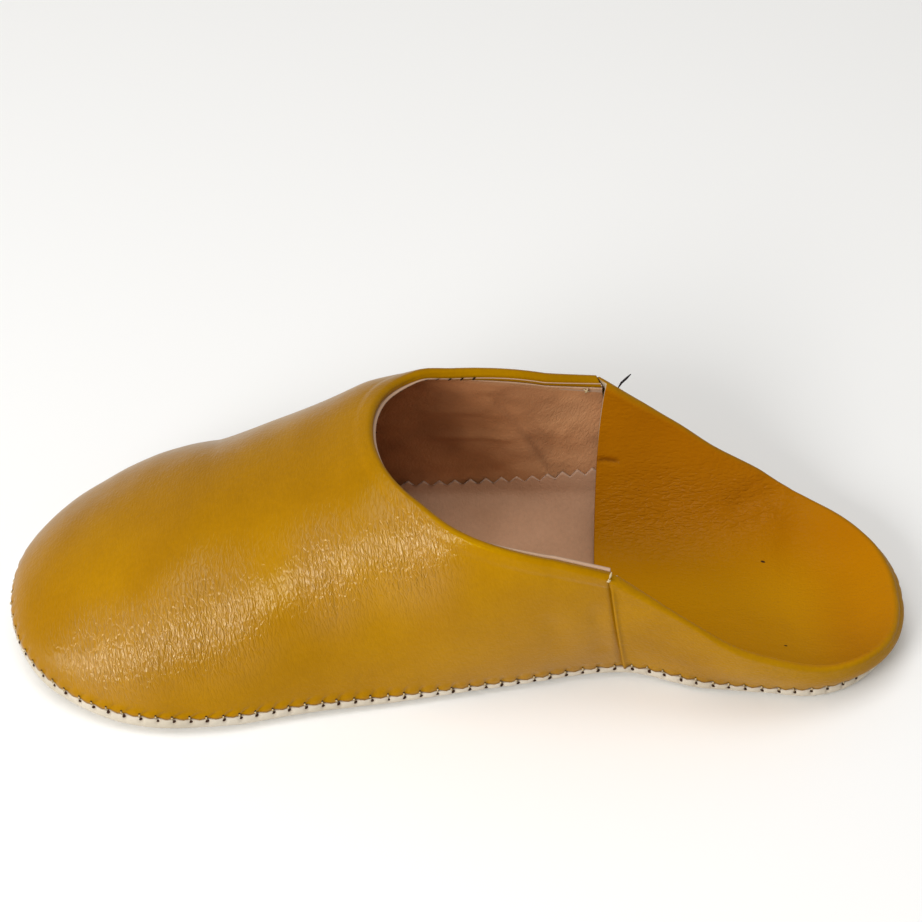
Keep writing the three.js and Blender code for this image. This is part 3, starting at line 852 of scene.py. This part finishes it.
def build_vamp():
    sheet, down, up, joint_run = vamp_sheet()
    normal = grid_normals(sheet, (len(sheet) // 2, 60), 2)
    normal[:, -6:, 2] *= 0.2
    normal = unit(normal)
    seam = np.minimum(joint_run, joint_run[-1] - joint_run)[:, None]
    roll = ROLL * np.sqrt(np.maximum(1 - (down / COLLAR_STEPS[-1]) ** 2, 0))
    relief = vamp_relief(sheet, down, up, joint_run[:, None], seam)
    outer = sheet + normal * (roll + relief)[..., None]
    upward = unit(sheet[:, 0] - sheet[:, CREST_STEP])
    turned = [i for i, step in enumerate(COLLAR_STEPS) if CREST < step <= TURNED_EDGE]
    inside = [(i, 0.3) for i in turned] + [(turned[-1], -0.1)]
    inside = [sheet[:, i] - normal[:, i] * (VAMP_WALL + roll[:, i] + more)[:, None] for i, more in inside]
    hem = sewn_hem(outer[:, -1], normal[:, -1], joint_run)[::-1]
    body = [outer[:, i] for i in range(down.shape[1] - 2, CREST_STEP - 1, -1)]
    grid = np.stack(hem + body + rolled_crest(sheet, normal, upward) + inside, 1)
    cut_far_end(grid, len(hem) + len(body))

    # Painted shade: dark on the hem's rows turned into the joint and on the end lines by the two seams
    painted_shade_and_mottle = np.zeros(grid.shape[:2])
    painted_shade_and_mottle[:, : len(hem)] = [1, 1, 1, 0.55]
    painted_shade_and_mottle[[0, -1], len(hem) :] = 0.35
    wrinkle = np.zeros(grid.shape[:2])
    facing = wrinkled(sheet, VAMP_WRINKLES, 0.1) * ease(up / 6)
    wrinkle[:, len(hem) : len(hem) + len(body)] = facing[:, CREST_STEP:-1][:, ::-1]
    facts = {"painted_shade_and_mottle": painted_shade_and_mottle, "wrinkle": wrinkle}
    make_grid("vamp_leather", grid, "vamp", YELLOW, facts, flip=True)
    build_lining(sheet, down, normal, roll, upward)
    build_collar_edge(sheet, normal, upward)
    return outer, normal, up, joint_run


def build_lining(sheet, down, normal, roll, upward):
    start = int(np.argmax(down[0] >= LINING_EDGE))
    columns = list(range(start, down.shape[1] - 2))
    depth = VAMP_WALL + 0.25 + roll * 0.6 + lining_relief(sheet, down)
    edges = []
    for out, rise in ((0.5, 0), (0.15, 0.3), (-0.25, 0.2)):
        inner = sheet[:, start] - normal[:, start] * (depth[:, start] - out)[:, None]
        edges.append(inner + upward * rise)
    body = (sheet - normal * depth[..., None])[:, columns]
    lining = np.concatenate([np.stack(edges, 1), body], 1)
    places = sheet[:, [start] * len(edges) + columns]
    run = np.concatenate([np.zeros((len(down), len(edges))), down[:, columns] - LINING_EDGE], 1)
    make_grid("vamp_lining", lining, "vamp", LINING, lining_facts(places, run), flip=True)


def lining_facts(places, run):
    """Where the lining is cut, paler under its edge, painted lighter towards the back, painted with shadow
    beside its overlap, mottled and wrinkled, for points a way down from its edge.
    """
    x = places[..., 0]
    # A paler strip under the edge, stronger towards the back, and painted light that pales the lining
    # towards the back, away from the throat's shade
    hem = 0.75 * (1 - ease((run - 2.5) / 3)) * (0.45 + 0.55 * ease((10 - x) / 40))
    behind = 0.55 * ease((8 - x) / 45) * (0.75 + 0.35 * noise(places, 11, 17))
    # Painted shadow beside the overlapping edge on the far wall; the mottling added below is random tone
    shade = wall_crease(places + [0.9, 0, 0.6], LINING_OVERLAP, 1.1)
    mottle = 0.22 * ease(noise(places, [9, 9, 6], 19) + 0.3) * ease(run / 6)
    return {
        "cut": ease((2.3 - run) / 0.9) * (0.6 + 0.4 * ease((12 - x) / 30)),
        "pale": np.clip(np.maximum(hem, behind), 0, 1),
        "painted_shade_and_mottle": np.where(places[..., 1] < 0, 0.25 * shade, 0) + mottle,
        "wrinkle": np.clip(0.25 + 0.6 * ease((-18 - x) / 12), 0, 1) * ease((run - 5) / 3),
    }


def build_collar_edge(sheet, normal, upward):
    """The lining's cut edge beside the rolled edge, which stands highest on the near side, and dark
    discs of painted shade for the stitch notches in it from the throat along the far side."""
    lines = slice(2, -2)
    x = sheet[lines, CREST_STEP, 0]
    far = sheet[lines, 0, 1] < 0
    grow = ease((14 - x) / 45)
    front = ease((x - 2) / 18)
    width = mix(np.where(far, 0.55, mix(0.3, 1.3, grow)), 0.8, front)[:, None]
    height = mix(np.where(far, 0.2, mix(0.15, 1.55, grow)), 1.95, front)[:, None]
    out = normal[lines, CREST_STEP]
    rise = upward[lines]
    base = sheet[lines, CREST_STEP] - out * (VAMP_WALL / 2 + CREST * 0.82)
    rows = [
        base - rise * 4,
        base + rise * height * 0.5,
        base + rise * height - out * width * 0.15,
        base + rise * height - out * width * 0.75,
        base + rise * height * 0.55 - out * width,
        base - rise * 1.4 + out * 0.4,
    ]
    make_grid("collar_lining_edge", np.stack(rows, 1), "vamp", CUT_EDGE, flip=True)

    run = length_along(base)
    last = run[np.nonzero(far & (x > NOTCHES_END_X))[0].max()]
    at = np.searchsorted(run, np.arange(run[int(np.argmax(x))], last, COLLAR_PITCH))
    # Dark discs of painted shade stand for the stitch notches
    facing = unit(rise[at] * 0.3 - out[at])
    across = unit(np.cross(facing, np.cross(rise[at], facing)))
    centres = base[at] + rise[at] * height[at] * 0.75 - out[at] * width[at] * 0.85 + facing * 0.12
    points, faces = discs(centres, facing, across, [(0.85, 0.42)] * len(at))
    make_object("painted_collar_notch_shade", points, faces, "vamp", HOLE_SHADE_AND_SPECKS)


VAMP_OUTER, VAMP_NORMAL, VAMP_UP, VAMP_RUN = build_vamp()


# Heel quarter
WALL_ROWS = 36
FOLD_ROWS = 16
FLAP_ROWS = 110
FOLD_TOP = WALL_ROWS + FOLD_ROWS // 2
FOLD_END = WALL_ROWS + FOLD_ROWS
SEAM_RIDGE = 0.55

# Where the flap's free edge runs, by share of the way down from the fold to the middle
FLAP_EDGE = {"x": [0, 0.12, 0.3, 0.6, 1], "at": [-46.3, -45.2, -44, -43.1, -42.6]}

# Fine wrinkles and creases of the quarter, as for the vamp
QUARTER_WRINKLES = [
    ((-64, -25, 18), (24, 16, 13), 0.75),
    ((-92, -27, 18), (15, 11, 10), 0.5),
    ((-70, 8, 10), (34, 24, 14), 0.2),
]
QUARTER_CREASES = [
    ([(-39, -33, 30), (-46.5, -32.9, 30), (-50.5, -32.6, 29.5)], 0.7, 0.9),
    ([(-103, -31.5, 21), (-91, -27.8, 17.8), (-81, -24.3, 15.5)], 3.2, 1.1),
    ([(-99, -34, 24), (-92, -31, 21), (-85, -29, 19)], 1.8, 0.35),
    ([(-98, -26, 16), (-90, -22, 13.5), (-83, -19, 12)], 2.0, 0.4),
    ([(-108, -20, 11), (-102, -16, 9), (-94, -13, 8.5)], 3.0, 0.4),
    ([(-70, -16, 10), (-64, -11, 8), (-56, -9, 8)], 2.5, 0.35),
]


def fold_crest(x, side):
    half = FOLD_HALF * oval((FOLD_CENTRE_X - x) / (FOLD_CENTRE_X - HEEL_X), FOLD_ROUNDNESS)
    return np.stack([x, side * half + along(FOLD, "bend", x), along(FOLD, "z", x)], -1)


def heel_side(side, start_x):
    """Rays of one side from a place near the seam to the tip of the heel."""
    near = start_x - np.array([0, 0.15, 0.3, 0.5, 0.7, 0.95, 1.25, 1.6, 2.1, 2.8])
    x = np.concatenate([near, np.linspace(near[-1], HEEL_CENTRE_X, 72)[1:-1]])
    heel = end_rays(HEEL_CENTRE_X, HEEL_X, HEEL_WIDTH / 2, np.linspace(0, math.pi / 2, 90), side)
    return rays_round([side_rays(x, side), heel])


def quarter_rows(side):
    """Rows over one side of the quarter: up its wall, over the fold and down the flap."""
    rows = []
    for j in range(FOLD_END + FLAP_ROWS + 1):
        t = min(j / WALL_ROWS, 1)
        if j <= FOLD_TOP:
            start_x = mix(SEAM_X + GAP, FLAP_EDGE_X + GAP, t)
        else:
            start_x = float(along(FLAP_EDGE, "at", (j - FOLD_TOP) / (FOLD_END + FLAP_ROWS - FOLD_TOP)))
        rays = heel_side(side, start_x)
        x = rays.edge[:, 0]
        joint = rays.at(0, 0)
        joint[:, 2] = joint_top(x)
        crest = fold_crest(x, side)
        inward = (rays.middle - rays.edge) / rays.reach[:, None]
        inward = np.concatenate([inward, 0 * inward[:, :1]], 1)
        wall = mix(QUARTER_WALL, FOLD_WALL, ease((SEAM_X - x) / FOLD_NARROWS))[:, None]
        shoulder = crest[:, 2:] - wall / 2
        floor = rays.on_sole(rays.reach, FLAP_LIFT + FLAP_WALL)
        depth = shoulder - floor[:, 2:]
        steep = ease(depth / FLAP_STEEP)
        leaves = mix(FOLD_LEAVES, math.pi, steep)

        def over_fold(angle):
            place = crest + inward * (wall / 2 * (1 - np.cos(angle)))
            place[:, 2:] = shoulder + wall / 2 * np.sin(angle)
            return place

        if j < WALL_ROWS:
            point = mix(joint, crest, t)
            point[:, 2] = mix(joint[:, 2], shoulder[:, 0], t)
            point = point - inward * (WALL_SWELL * math.sin(t * math.pi))
        elif j <= FOLD_END:
            point = over_fold((j - WALL_ROWS) / FOLD_ROWS * leaves)
        else:
            start = over_fold(leaves)
            low = rays.on_sole(FLAP_FOOT, FLAP_LIFT + FLAP_WALL)
            length = mix(FLAP_DISH, depth / 2, steep)
            handle = start + inward * (np.sin(leaves) * length + wall * steep)
            handle[:, 2:] = start[:, 2:] + np.cos(leaves) * length
            point = cubic(start, handle, low, floor, (j - FOLD_END) / FLAP_ROWS)
            inset = np.maximum(((point - joint) * inward).sum(-1), 4.5)
            lowest = rays.on_sole(inset, FLAP_LIFT + FLAP_WALL)
            point[:, 2] = np.maximum(point[:, 2], lowest[:, 2])
        rows.append(point)
    return np.stack(rows, 1)


def quarter_relief(grid, up, foot_run, from_edge):
    """Undulations, creases, the seams' raised edges and the pull of the stitches, as heights."""
    fine = 0.05 * noise(grid, [7, 2.4, 2.4], 23) * wrinkled(grid, QUARTER_WRINKLES, 0.15)
    relief = 0.3 * noise(grid, 24, 21) + 0.13 * noise(grid, [14, 6, 6], 22) + fine
    for path, width, depth in QUARTER_CREASES:
        relief = relief - depth * crease(grid, path, width)
    relief = relief * ease(from_edge / 3 + 0.2) * ease(up / 4)
    ridge = bell(from_edge - 0.75, 0.6) * SEAM_RIDGE - 0.6 * ease(1 - from_edge / 0.4)
    on_wall_part = ease((WALL_ROWS - np.arange(grid.shape[1])) / 4)
    return relief + ridge * on_wall_part + stitch_pull(foot_run, up, 0.3)


def turned_edge(edge, facing):
    """Rows by which a free edge of the quarter turns under, by the leather's thickness."""
    row = np.arange(len(edge))
    cut = (row >= FOLD_TOP + 2)[:, None]
    thick = np.where(cut, FLAP_WALL, 0.8)
    back = 4 * ease((row - FOLD_END - 7) / 17)[:, None]
    forward = np.array([1, 0, 0])
    return [
        edge - facing * 0.12 + forward * 0.1,
        edge - facing * thick * 0.9 + forward * 0.12,
        edge - facing * (thick + 0.15) - forward * 0.5,
        edge - facing * (thick + 0.4) + np.where(cut, -forward * back, forward * 1.6),
    ]


def quarter_facts(whole, grid):
    """Where the quarter is cut, sewn or creased, warm in tone and wrinkled; where shade is painted in its
    seams, under its edges and in a crease; and where light is painted on its near fold's crest and its lit
    side.
    """
    x, y = whole[..., 0], whole[..., 1]
    row = np.arange(whole.shape[1])
    cut = np.zeros(whole.shape[:2])
    painted_shade_and_mottle = np.zeros(whole.shape[:2])
    flap = row >= FOLD_TOP + 3
    shown = 1 - ease((row - FOLD_END - 18) / 24)
    # Cream cut edge on the flap's upper edges. Painted shade along the rest of the flap's edge, on the
    # seams' turned edges, on the rows turned under and on the hem
    for edge in (slice(1, 4), slice(-4, -1)):
        cut[edge, flap] = 0.9 * shown[flap]
        painted_shade_and_mottle[edge, flap] = 0.5 * (1 - shown[flap])
        painted_shade_and_mottle[edge, ~flap] = 0.7
    painted_shade_and_mottle[[0, -1]] = 1
    painted_shade_and_mottle[4:-4, :3] = [1, 1, 0.55]
    warm = 0.9 * ease((row - FOLD_TOP) / 9) + 0 * x
    # Painted shade in the short crease, and over the top of the far flap
    painted_shade_and_mottle[4:-4, 2:] += 0.45 * crease(grid, QUARTER_CREASES[0][0], 0.45)
    painted_shade_and_mottle[4:-4, 2:] += 0.13 * ease((-grid[..., 1] - 18) / 18) * warm[4:-4, 2:]
    # Painted light: the flap is lighter towards its near side, and a painted highlight runs along the near
    # fold's crest
    lit = np.maximum(ease((y + 28) / 34), 0.2 * ease((-92 - x) / 25)) * (1 - 0.6 * ease((-100 - x) / 20))
    ridge = np.maximum(0.35 * bell(row - FOLD_TOP - 3, 4) * ease(y / 12), 0.95 * warm * lit)
    wrinkle = wrinkled(whole, QUARTER_WRINKLES, 0.28)
    return {"cut": cut, "painted_shade_and_mottle": painted_shade_and_mottle, "warm": warm, "wrinkle": wrinkle, "ridge": ridge}


def build_quarter():
    grid = np.concatenate([quarter_rows(1), quarter_rows(-1)[::-1][1:]])
    normal = grid_normals(grid, (20, 5), 1)
    foot_run = length_along(grid[:, 0])[:, None]
    from_edge = np.minimum(foot_run, foot_run[-1] - foot_run)
    up = np.array([length_along(line) for line in grid])
    outer = grid + normal * quarter_relief(grid, up, foot_run, from_edge)[..., None]
    hem = sewn_hem(outer[:, 0], normal[:, 0], foot_run[:, 0])[2::-1]
    skin = np.concatenate([np.stack(hem, 1), outer[:, 1:]], 1)
    facing = np.concatenate([normal[:, :1]] * len(hem) + [normal[:, 1:]], 1)
    lead, trail = (turned_edge(skin[end], facing[end]) for end in (0, -1))
    whole = np.stack([*lead[::-1], *skin, *trail], 0)
    make_grid("quarter_leather", whole, "heel_quarter", QUARTER_YELLOW, quarter_facts(whole, grid))
    return outer, normal, up, foot_run[:, 0]


QUARTER_OUTER, QUARTER_NORMAL, QUARTER_UP, QUARTER_RUN = build_quarter()


# Soles
SMUDGES = [
    ((-58, -38, 3), (9, 9, 6), 0.7),
    ((-74, -40, 2), (12, 8, 6), 0.4),
    ((96, -40, 4), (12, 9, 8), 0.35),
]
SOLE_TOP = 8
SOLE_ANGLES = [0, 4, 8, 12, 16, 21, 27, 34, 42, 51, 61, 72, 81, 90]
PINK_PITCH = 4.9
PINK_DEPTH = 2.2
FLANGE_FOOT = 26
FLANGE_FACE = 3.3
FLANGE_BACK = 2.5
INSOLE_EDGE = {
    "x": [-50, -44, -36, -26, -17, -8, 7, 26, 46],
    "z": [22, 20.9, 19.2, 16.8, 15.4, 13.8, 11.8, 10.6, 9.8],
}


def ring_run(points):
    """Running length round the joint from the near seam: by the toe, then by the heel."""
    run = length_along(points)
    far_seam = int(np.argmin(np.abs(points[:, 0] - SEAM_X) + np.where(points[:, 1] < 0, 0, 1e3)))
    return np.where(np.arange(len(run)) <= far_seam, run, run[-1] - run), far_seam


def build_outsole():
    rays = whole_round(side_step=0.55, end_count=150)
    x = rays.edge[:, 0]
    rise = along(JOINT, "z", x) - underside(x)
    rows = [rays.on_sole(inset) for inset in np.linspace(RIM, SOLE_WALL, SOLE_TOP)]
    for angle in np.radians(SOLE_ANGLES):
        inset = RIM * (1 - math.cos(angle)) - SOLE_BULGE * math.sin(2 * angle)
        rows.append(rays.at(inset, rise * (1 - math.sin(angle))))
    for share in np.linspace(0, 1, 26)[1:]:
        rows.append(rays.at(mix(RIM, rays.reach, share), 0))
    grid = np.stack(rows, 1)
    normal = grid_normals(grid, (100, SOLE_TOP + 5), 1)
    run, far_seam = ring_run(grid[:, SOLE_TOP])
    below = grid[:, SOLE_TOP, 2][:, None] - grid[..., 2]
    outside = np.arange(grid.shape[1]) > SOLE_TOP
    at_stitch = stitch_near(run)[:, None]
    pulled = ease((at_stitch - 0.6) / 0.4)
    relief = 0.2 * (1 - at_stitch) * bell(below - 0.9, 1.1) - 0.5 * pulled * bell(below - 1.3, 1.0)
    ripple = 0.18 * noise(grid, [6, 6, 40], 31) * ease(below / 2)
    ripple = ripple + 0.3 * noise(grid, 18, 32) * ease(below / 3)
    flat = ease((grid[..., 2] - 0.15) / 1.2)
    outer = grid + normal * ((relief + ripple * flat) * outside)[..., None]
    outer[..., 2] = np.maximum(outer[..., 2], np.minimum(grid[..., 2], 0.02))
    # Painted shade in the dimples under the stitches, and over the rows inside the rim under the upper
    painted_shade_and_mottle = 0.35 * pulled * bell(below - 1.2, 0.8) * outside
    painted_shade_and_mottle[:, : SOLE_TOP + 1] = 0.6
    smudge = sum(strength * patch(grid, *where) for *where, strength in SMUDGES)
    smudge = np.clip(smudge + 0.25 * ease(noise(grid, 22, 35) - 0.2) * outside, 0, 1)
    facts = {"painted_shade_and_mottle": painted_shade_and_mottle, "smudge": smudge, "wrinkle": 0 * painted_shade_and_mottle}
    make_grid("outsole_leather", outer, "outsole", SOLE, facts)
    return outer, normal, run, far_seam


def insole_floor(x, side, inset):
    """The insole's upper face, a distance in from the joint."""
    return Rays(*side_rays(x, side)).on_sole(inset, GAP + INSOLE_WALL) + [0, 0, 0.05]


def insole_flange(side, lean_in):
    """The insole's edge swept up against the vamp's lining on one side, with its pinked edge."""
    x = np.arange(-49.5, 46, 0.3)
    target = along(INSOLE_EDGE, "z", x)
    tooth = np.abs((x / PINK_PITCH) % 1 - 0.5) * 2
    pinked = PINK_DEPTH * (1 - tooth) ** 1.15
    section = np.stack([vamp_point(x, side * (1 - t)) for t in np.linspace(0, 0.75, 90)], 1)
    across = np.gradient(section, axis=1)
    inward = unit(np.stack([0 * across[..., 0], across[..., 2], -across[..., 1]], -1)) * side
    inner = section - inward * lean_in

    def on_wall_at(height):
        point = []
        for line, z in zip(inner, height):
            at = np.interp(z, line[:, 2], np.arange(len(line)))
            point.append([np.interp(at, np.arange(len(line)), line[:, i]) for i in range(3)])
        return np.array(point)

    start = insole_floor(x, side, FLANGE_FOOT)
    level_out = insole_floor(x, side, FLANGE_FOOT - 11)
    foot_height = mix(start[:, 2], target, 0.55)
    foot = on_wall_at(foot_height)
    below = on_wall_at(foot_height - 2)
    rows = [cubic(start, level_out, mix(foot, below, 2.6), foot, t) for t in np.linspace(0, 1, 16)]
    for row, left in zip(rows, np.linspace(1, 0, 16)):
        row[:, 2] += 0.25 * noise(row, 16, 41) * ease(left * 2)
    for level in np.linspace(0, 1, 11)[1:]:
        notch = pinked * ease((level - 0.6) / 0.4)
        rows.append(on_wall_at(mix(foot[:, 2], target - notch, level)))
    return np.swapaxes(np.array(rows), 0, 1)


def build_insole():
    rays = whole_round(side_step=0.7, end_count=100)
    edge = mix(4.5, 3.2, ease((rays.edge[:, 0] - SEAM_X - 2) / 10))
    insets = [mix(edge, RIM, share) for share in np.linspace(0, 1, 10)]
    insets += [mix(RIM, rays.reach, share) for share in np.linspace(0, 1, 34)[1:]]
    rows = [rays.on_sole(edge, GAP)] + [rays.on_sole(inset, GAP + INSOLE_WALL) for inset in insets]
    grid = np.stack(rows, 1)
    grid[:, 2:, 2] += 0.25 * noise(grid[:, 2:], 16, 41) * ease((rays.reach[:, None] - 4) / 10)
    blank = np.zeros(grid.shape[:2])
    facts = {"cut": blank, "wrinkle": blank + 0.5, "painted_shade_and_mottle": blank}
    make_grid("insole_leather", grid, "insole", INSOLE, facts)
    for name, side in (("near", 1), ("far", -1)):
        face = insole_flange(side, FLANGE_FACE)
        back = insole_flange(side, FLANGE_BACK)
        face = face + 0.12 * noise(face, 9, 43)[..., None] * [0, -side, 0]
        strip = np.concatenate([face, back[:, -1:], back[:, -2:-1]], 1)
        blank = np.zeros(strip.shape[:2])
        cut = blank.copy()
        cut[:, -3:-1] = [0.4, 0.8]
        # Painted shadow along the back row, behind the pinked edge
        painted_shade_and_mottle = blank.copy()
        painted_shade_and_mottle[:, -1] = 1
        facts = {"cut": cut, "wrinkle": blank + 0.5, "painted_shade_and_mottle": painted_shade_and_mottle}
        make_grid(f"insole_edge_{name}", strip, "insole", INSOLE, facts, flip=side > 0)


OUTSOLE, OUTSOLE_NORMAL, OUTSOLE_RUN, FAR_SEAM = build_outsole()
build_insole()


# Stitches, holes, knots and threads

# The holes' heights, above the joint in the upper and below it in the sole
UPPER_HOLE = 1.15
SOLE_HOLE = 0.6

# Dark specks on the flap, and the knots and the loose end at the tops of the two seams
SPECKS = np.array([(-94.3, -10.2, 8.5), (-98, 27.7, 10.4)])
KNOTS = [
    [(-42.9, 44.7, 53.9), (-43.4, 44.9, 54.3), (-43.9, 44.7, 54.5)],
    [(-43.3, 44.6, 53.6), (-43.5, 44.9, 54.2), (-43.3, 44.6, 54.9)],
    [(-43.6, 44.3, 54.7), (-43.9, 43.7, 55.3), (-44.2, 43.0, 56.0)],
    [(-39.2, -41.2, 51.6), (-40.0, -40.7, 51.2), (-40.8, -41.2, 50.6)],
    [(-39.7, -41.1, 50.2), (-40.1, -40.6, 51.2), (-40.4, -41.2, 52.0)],
]
TAIL = [(-49.8, -43.4, 50.2), (-50.8, -44.3, 51.5), (-52.2, -45.4, 52.2), (-53.7, -46.5, 53.1)]


def stitch_side(grid, normal, up, run, lines):
    """Holes in the upper and the sole and the thread between them, for one part of the joint."""
    order = np.array(lines)[np.argsort(OUTSOLE_RUN[lines])]
    at = stitch_places(run[-1])
    near = order[np.searchsorted(OUTSOLE_RUN[order], at).clip(0, len(order) - 1)]
    below = OUTSOLE[:, SOLE_TOP, 2][:, None] - OUTSOLE[..., 2]
    rows = [SOLE_TOP + int(np.argmin(np.abs(below[line, SOLE_TOP:] - SOLE_HOLE))) for line in near]
    joint = OUTSOLE[:, SOLE_TOP]
    ahead = unit(joint[(near + 2) % len(joint)] - joint[near - 2])
    foot = grid[up < 5]
    wanted = joint[near] + ahead * 0.35 + [0, 0, UPPER_HOLE]
    nearest = [int(np.argmin(np.linalg.norm(foot - place, axis=-1))) for place in wanted]
    return foot[nearest], normal[up < 5][nearest], OUTSOLE[near, rows], OUTSOLE_NORMAL[near, rows]


def add_stitches():
    toe = list(range(FAR_SEAM + 1))
    heel = list(range(FAR_SEAM + 1, len(OUTSOLE_RUN)))
    parts = (
        stitch_side(VAMP_OUTER, VAMP_NORMAL, VAMP_UP, VAMP_RUN, toe),
        stitch_side(QUARTER_OUTER, QUARTER_NORMAL, QUARTER_UP, QUARTER_RUN, heel),
    )
    top, top_facing, low, low_facing = (np.concatenate(part) for part in zip(*parts))
    paths = []
    for hole, n, dimple, m in zip(top, top_facing, low, low_facing):
        start = hole - n * 0.2 - [0, 0, 0.15]
        rise = hole + n * 0.22 - [0, 0, 0.45]
        middle = mix(hole, dimple, 0.5) + (n + m) * 0.18
        paths.append([start, rise, middle, mix(hole, dimple, 0.7) - m * 0.3])
    points, faces = tubes(paths, 0.3)
    make_object("joint_stitches", points, faces, "outsole", THREAD)
    # Dark discs at the holes: painted shade standing in for the holes' depth
    centres = np.concatenate([top + top_facing * 0.05, low + low_facing * 0.05 - [0, 0, 0.12]])
    normals = np.concatenate([top_facing, low_facing])
    upward = unit([0, 0, 1] - normals * normals[:, 2:])
    radii = [(0.38, 0.32)] * len(top) + [(0.72, 0.66)] * len(low)
    points, faces = discs(centres, normals, upward, radii)
    make_object("painted_joint_hole_shade", points, faces, "outsole", HOLE_SHADE_AND_SPECKS)


def add_thread_ends():
    points, faces = tubes(KNOTS, 0.35)
    make_object("seam_knots", points, faces, "vamp", THREAD)
    points, faces = tubes([TAIL], 0.36)
    make_object("thread_tail", points, faces, "heel_quarter", DARK_THREAD)


def add_specks():
    grid = QUARTER_OUTER[:, WALL_ROWS:]
    facing = QUARTER_NORMAL[:, WALL_ROWS:]
    centres, normals = [], []
    for speck in SPECKS:
        nearest = np.unravel_index(np.argmin(np.linalg.norm(grid - speck, axis=-1)), grid.shape[:2])
        centres.append(grid[nearest])
        normals.append(facing[nearest])
    sideways = unit(np.cross(normals, [0.3, 1, 0]))
    points, faces = discs(centres, normals, sideways, [(0.75, 0.35), (0.55, 0.45)])
    make_object("flap_specks", points, faces, "heel_quarter", HOLE_SHADE_AND_SPECKS)


add_stitches()
add_thread_ends()
add_specks()


# Floor, light and camera
# Each lamp's place and size in metres and its power in watts; all of them face the origin
LAMPS = {
    "window": ((0.78, 1.15, 0.75), 0.62, 15),
    "toe_side": ((1.25, 0.45, 0.24), 0.35, 3.4),
    "overhead": ((0.2, 0.25, 1.5), 1.1, 11),
}
FLOOR_HALF = 3.0


def lay_floor():
    floor = bpy.data.meshes.new("floor")
    corners = [(x * FLOOR_HALF, y * FLOOR_HALF, 0) for x, y in ((-1, -1), (1, -1), (1, 1), (-1, 1))]
    floor.from_pydata(corners, [], [(0, 1, 2, 3)])
    material = bpy.data.materials.new("pale_floor")
    material.use_nodes = True
    shader = material.node_tree.nodes["Principled BSDF"]
    shader.inputs["Base Color"].default_value = (0.93, 0.93, 0.92, 1)
    shader.inputs["Roughness"].default_value = 0.9
    floor.materials.append(material)
    ground = bpy.data.objects.new("floor", floor)
    bpy.context.scene.collection.objects.link(ground)


def light_studio():
    world = bpy.data.worlds.new("studio")
    bpy.context.scene.world = world
    world.use_nodes = True
    background = world.node_tree.nodes["Background"]
    background.inputs["Color"].default_value = (1, 0.98, 0.95, 1)
    background.inputs["Strength"].default_value = 0.38
    for name, (place, size, power) in LAMPS.items():
        data = bpy.data.lights.new(name, "AREA")
        data.size = size
        data.energy = power
        light = bpy.data.objects.new(name, data)
        light.location = place
        light.rotation_euler = (-Vector(place)).to_track_quat("-Z", "Y").to_euler()
        bpy.context.scene.collection.objects.link(light)


IMAGE = 922
FOCAL_PX = 2943
CAMERA_ELEVATION = math.radians(44.9)
CAMERA_DISTANCE = 0.9
ORIGIN_PX = (454.8, 605.3)


def camera():
    """The camera turns a little so that the shoe's origin lands where the photograph has it."""
    data = bpy.data.cameras.new("camera")
    data.sensor_width = 36
    data.lens = data.sensor_width * FOCAL_PX / IMAGE
    obj = bpy.data.objects.new("camera", data)
    target = Vector(TO_FRAME / 1000)
    back = Vector((0, math.cos(CAMERA_ELEVATION), math.sin(CAMERA_ELEVATION)))
    obj.location = target + back * CAMERA_DISTANCE
    aim = (-back).to_track_quat("-Z", "Y")
    right = (ORIGIN_PX[0] - IMAGE / 2) / FOCAL_PX
    down = (ORIGIN_PX[1] - IMAGE / 2) / FOCAL_PX
    turn = Vector((right, -down, -1)).rotation_difference(Vector((0, 0, -1)))
    obj.rotation_mode = "QUATERNION"
    obj.rotation_quaternion = aim @ turn
    bpy.context.scene.collection.objects.link(obj)
    bpy.context.scene.camera = obj
    data.clip_end = 20


lay_floor()
light_studio()
camera()
bpy.context.scene.view_settings.view_transform = "Standard"
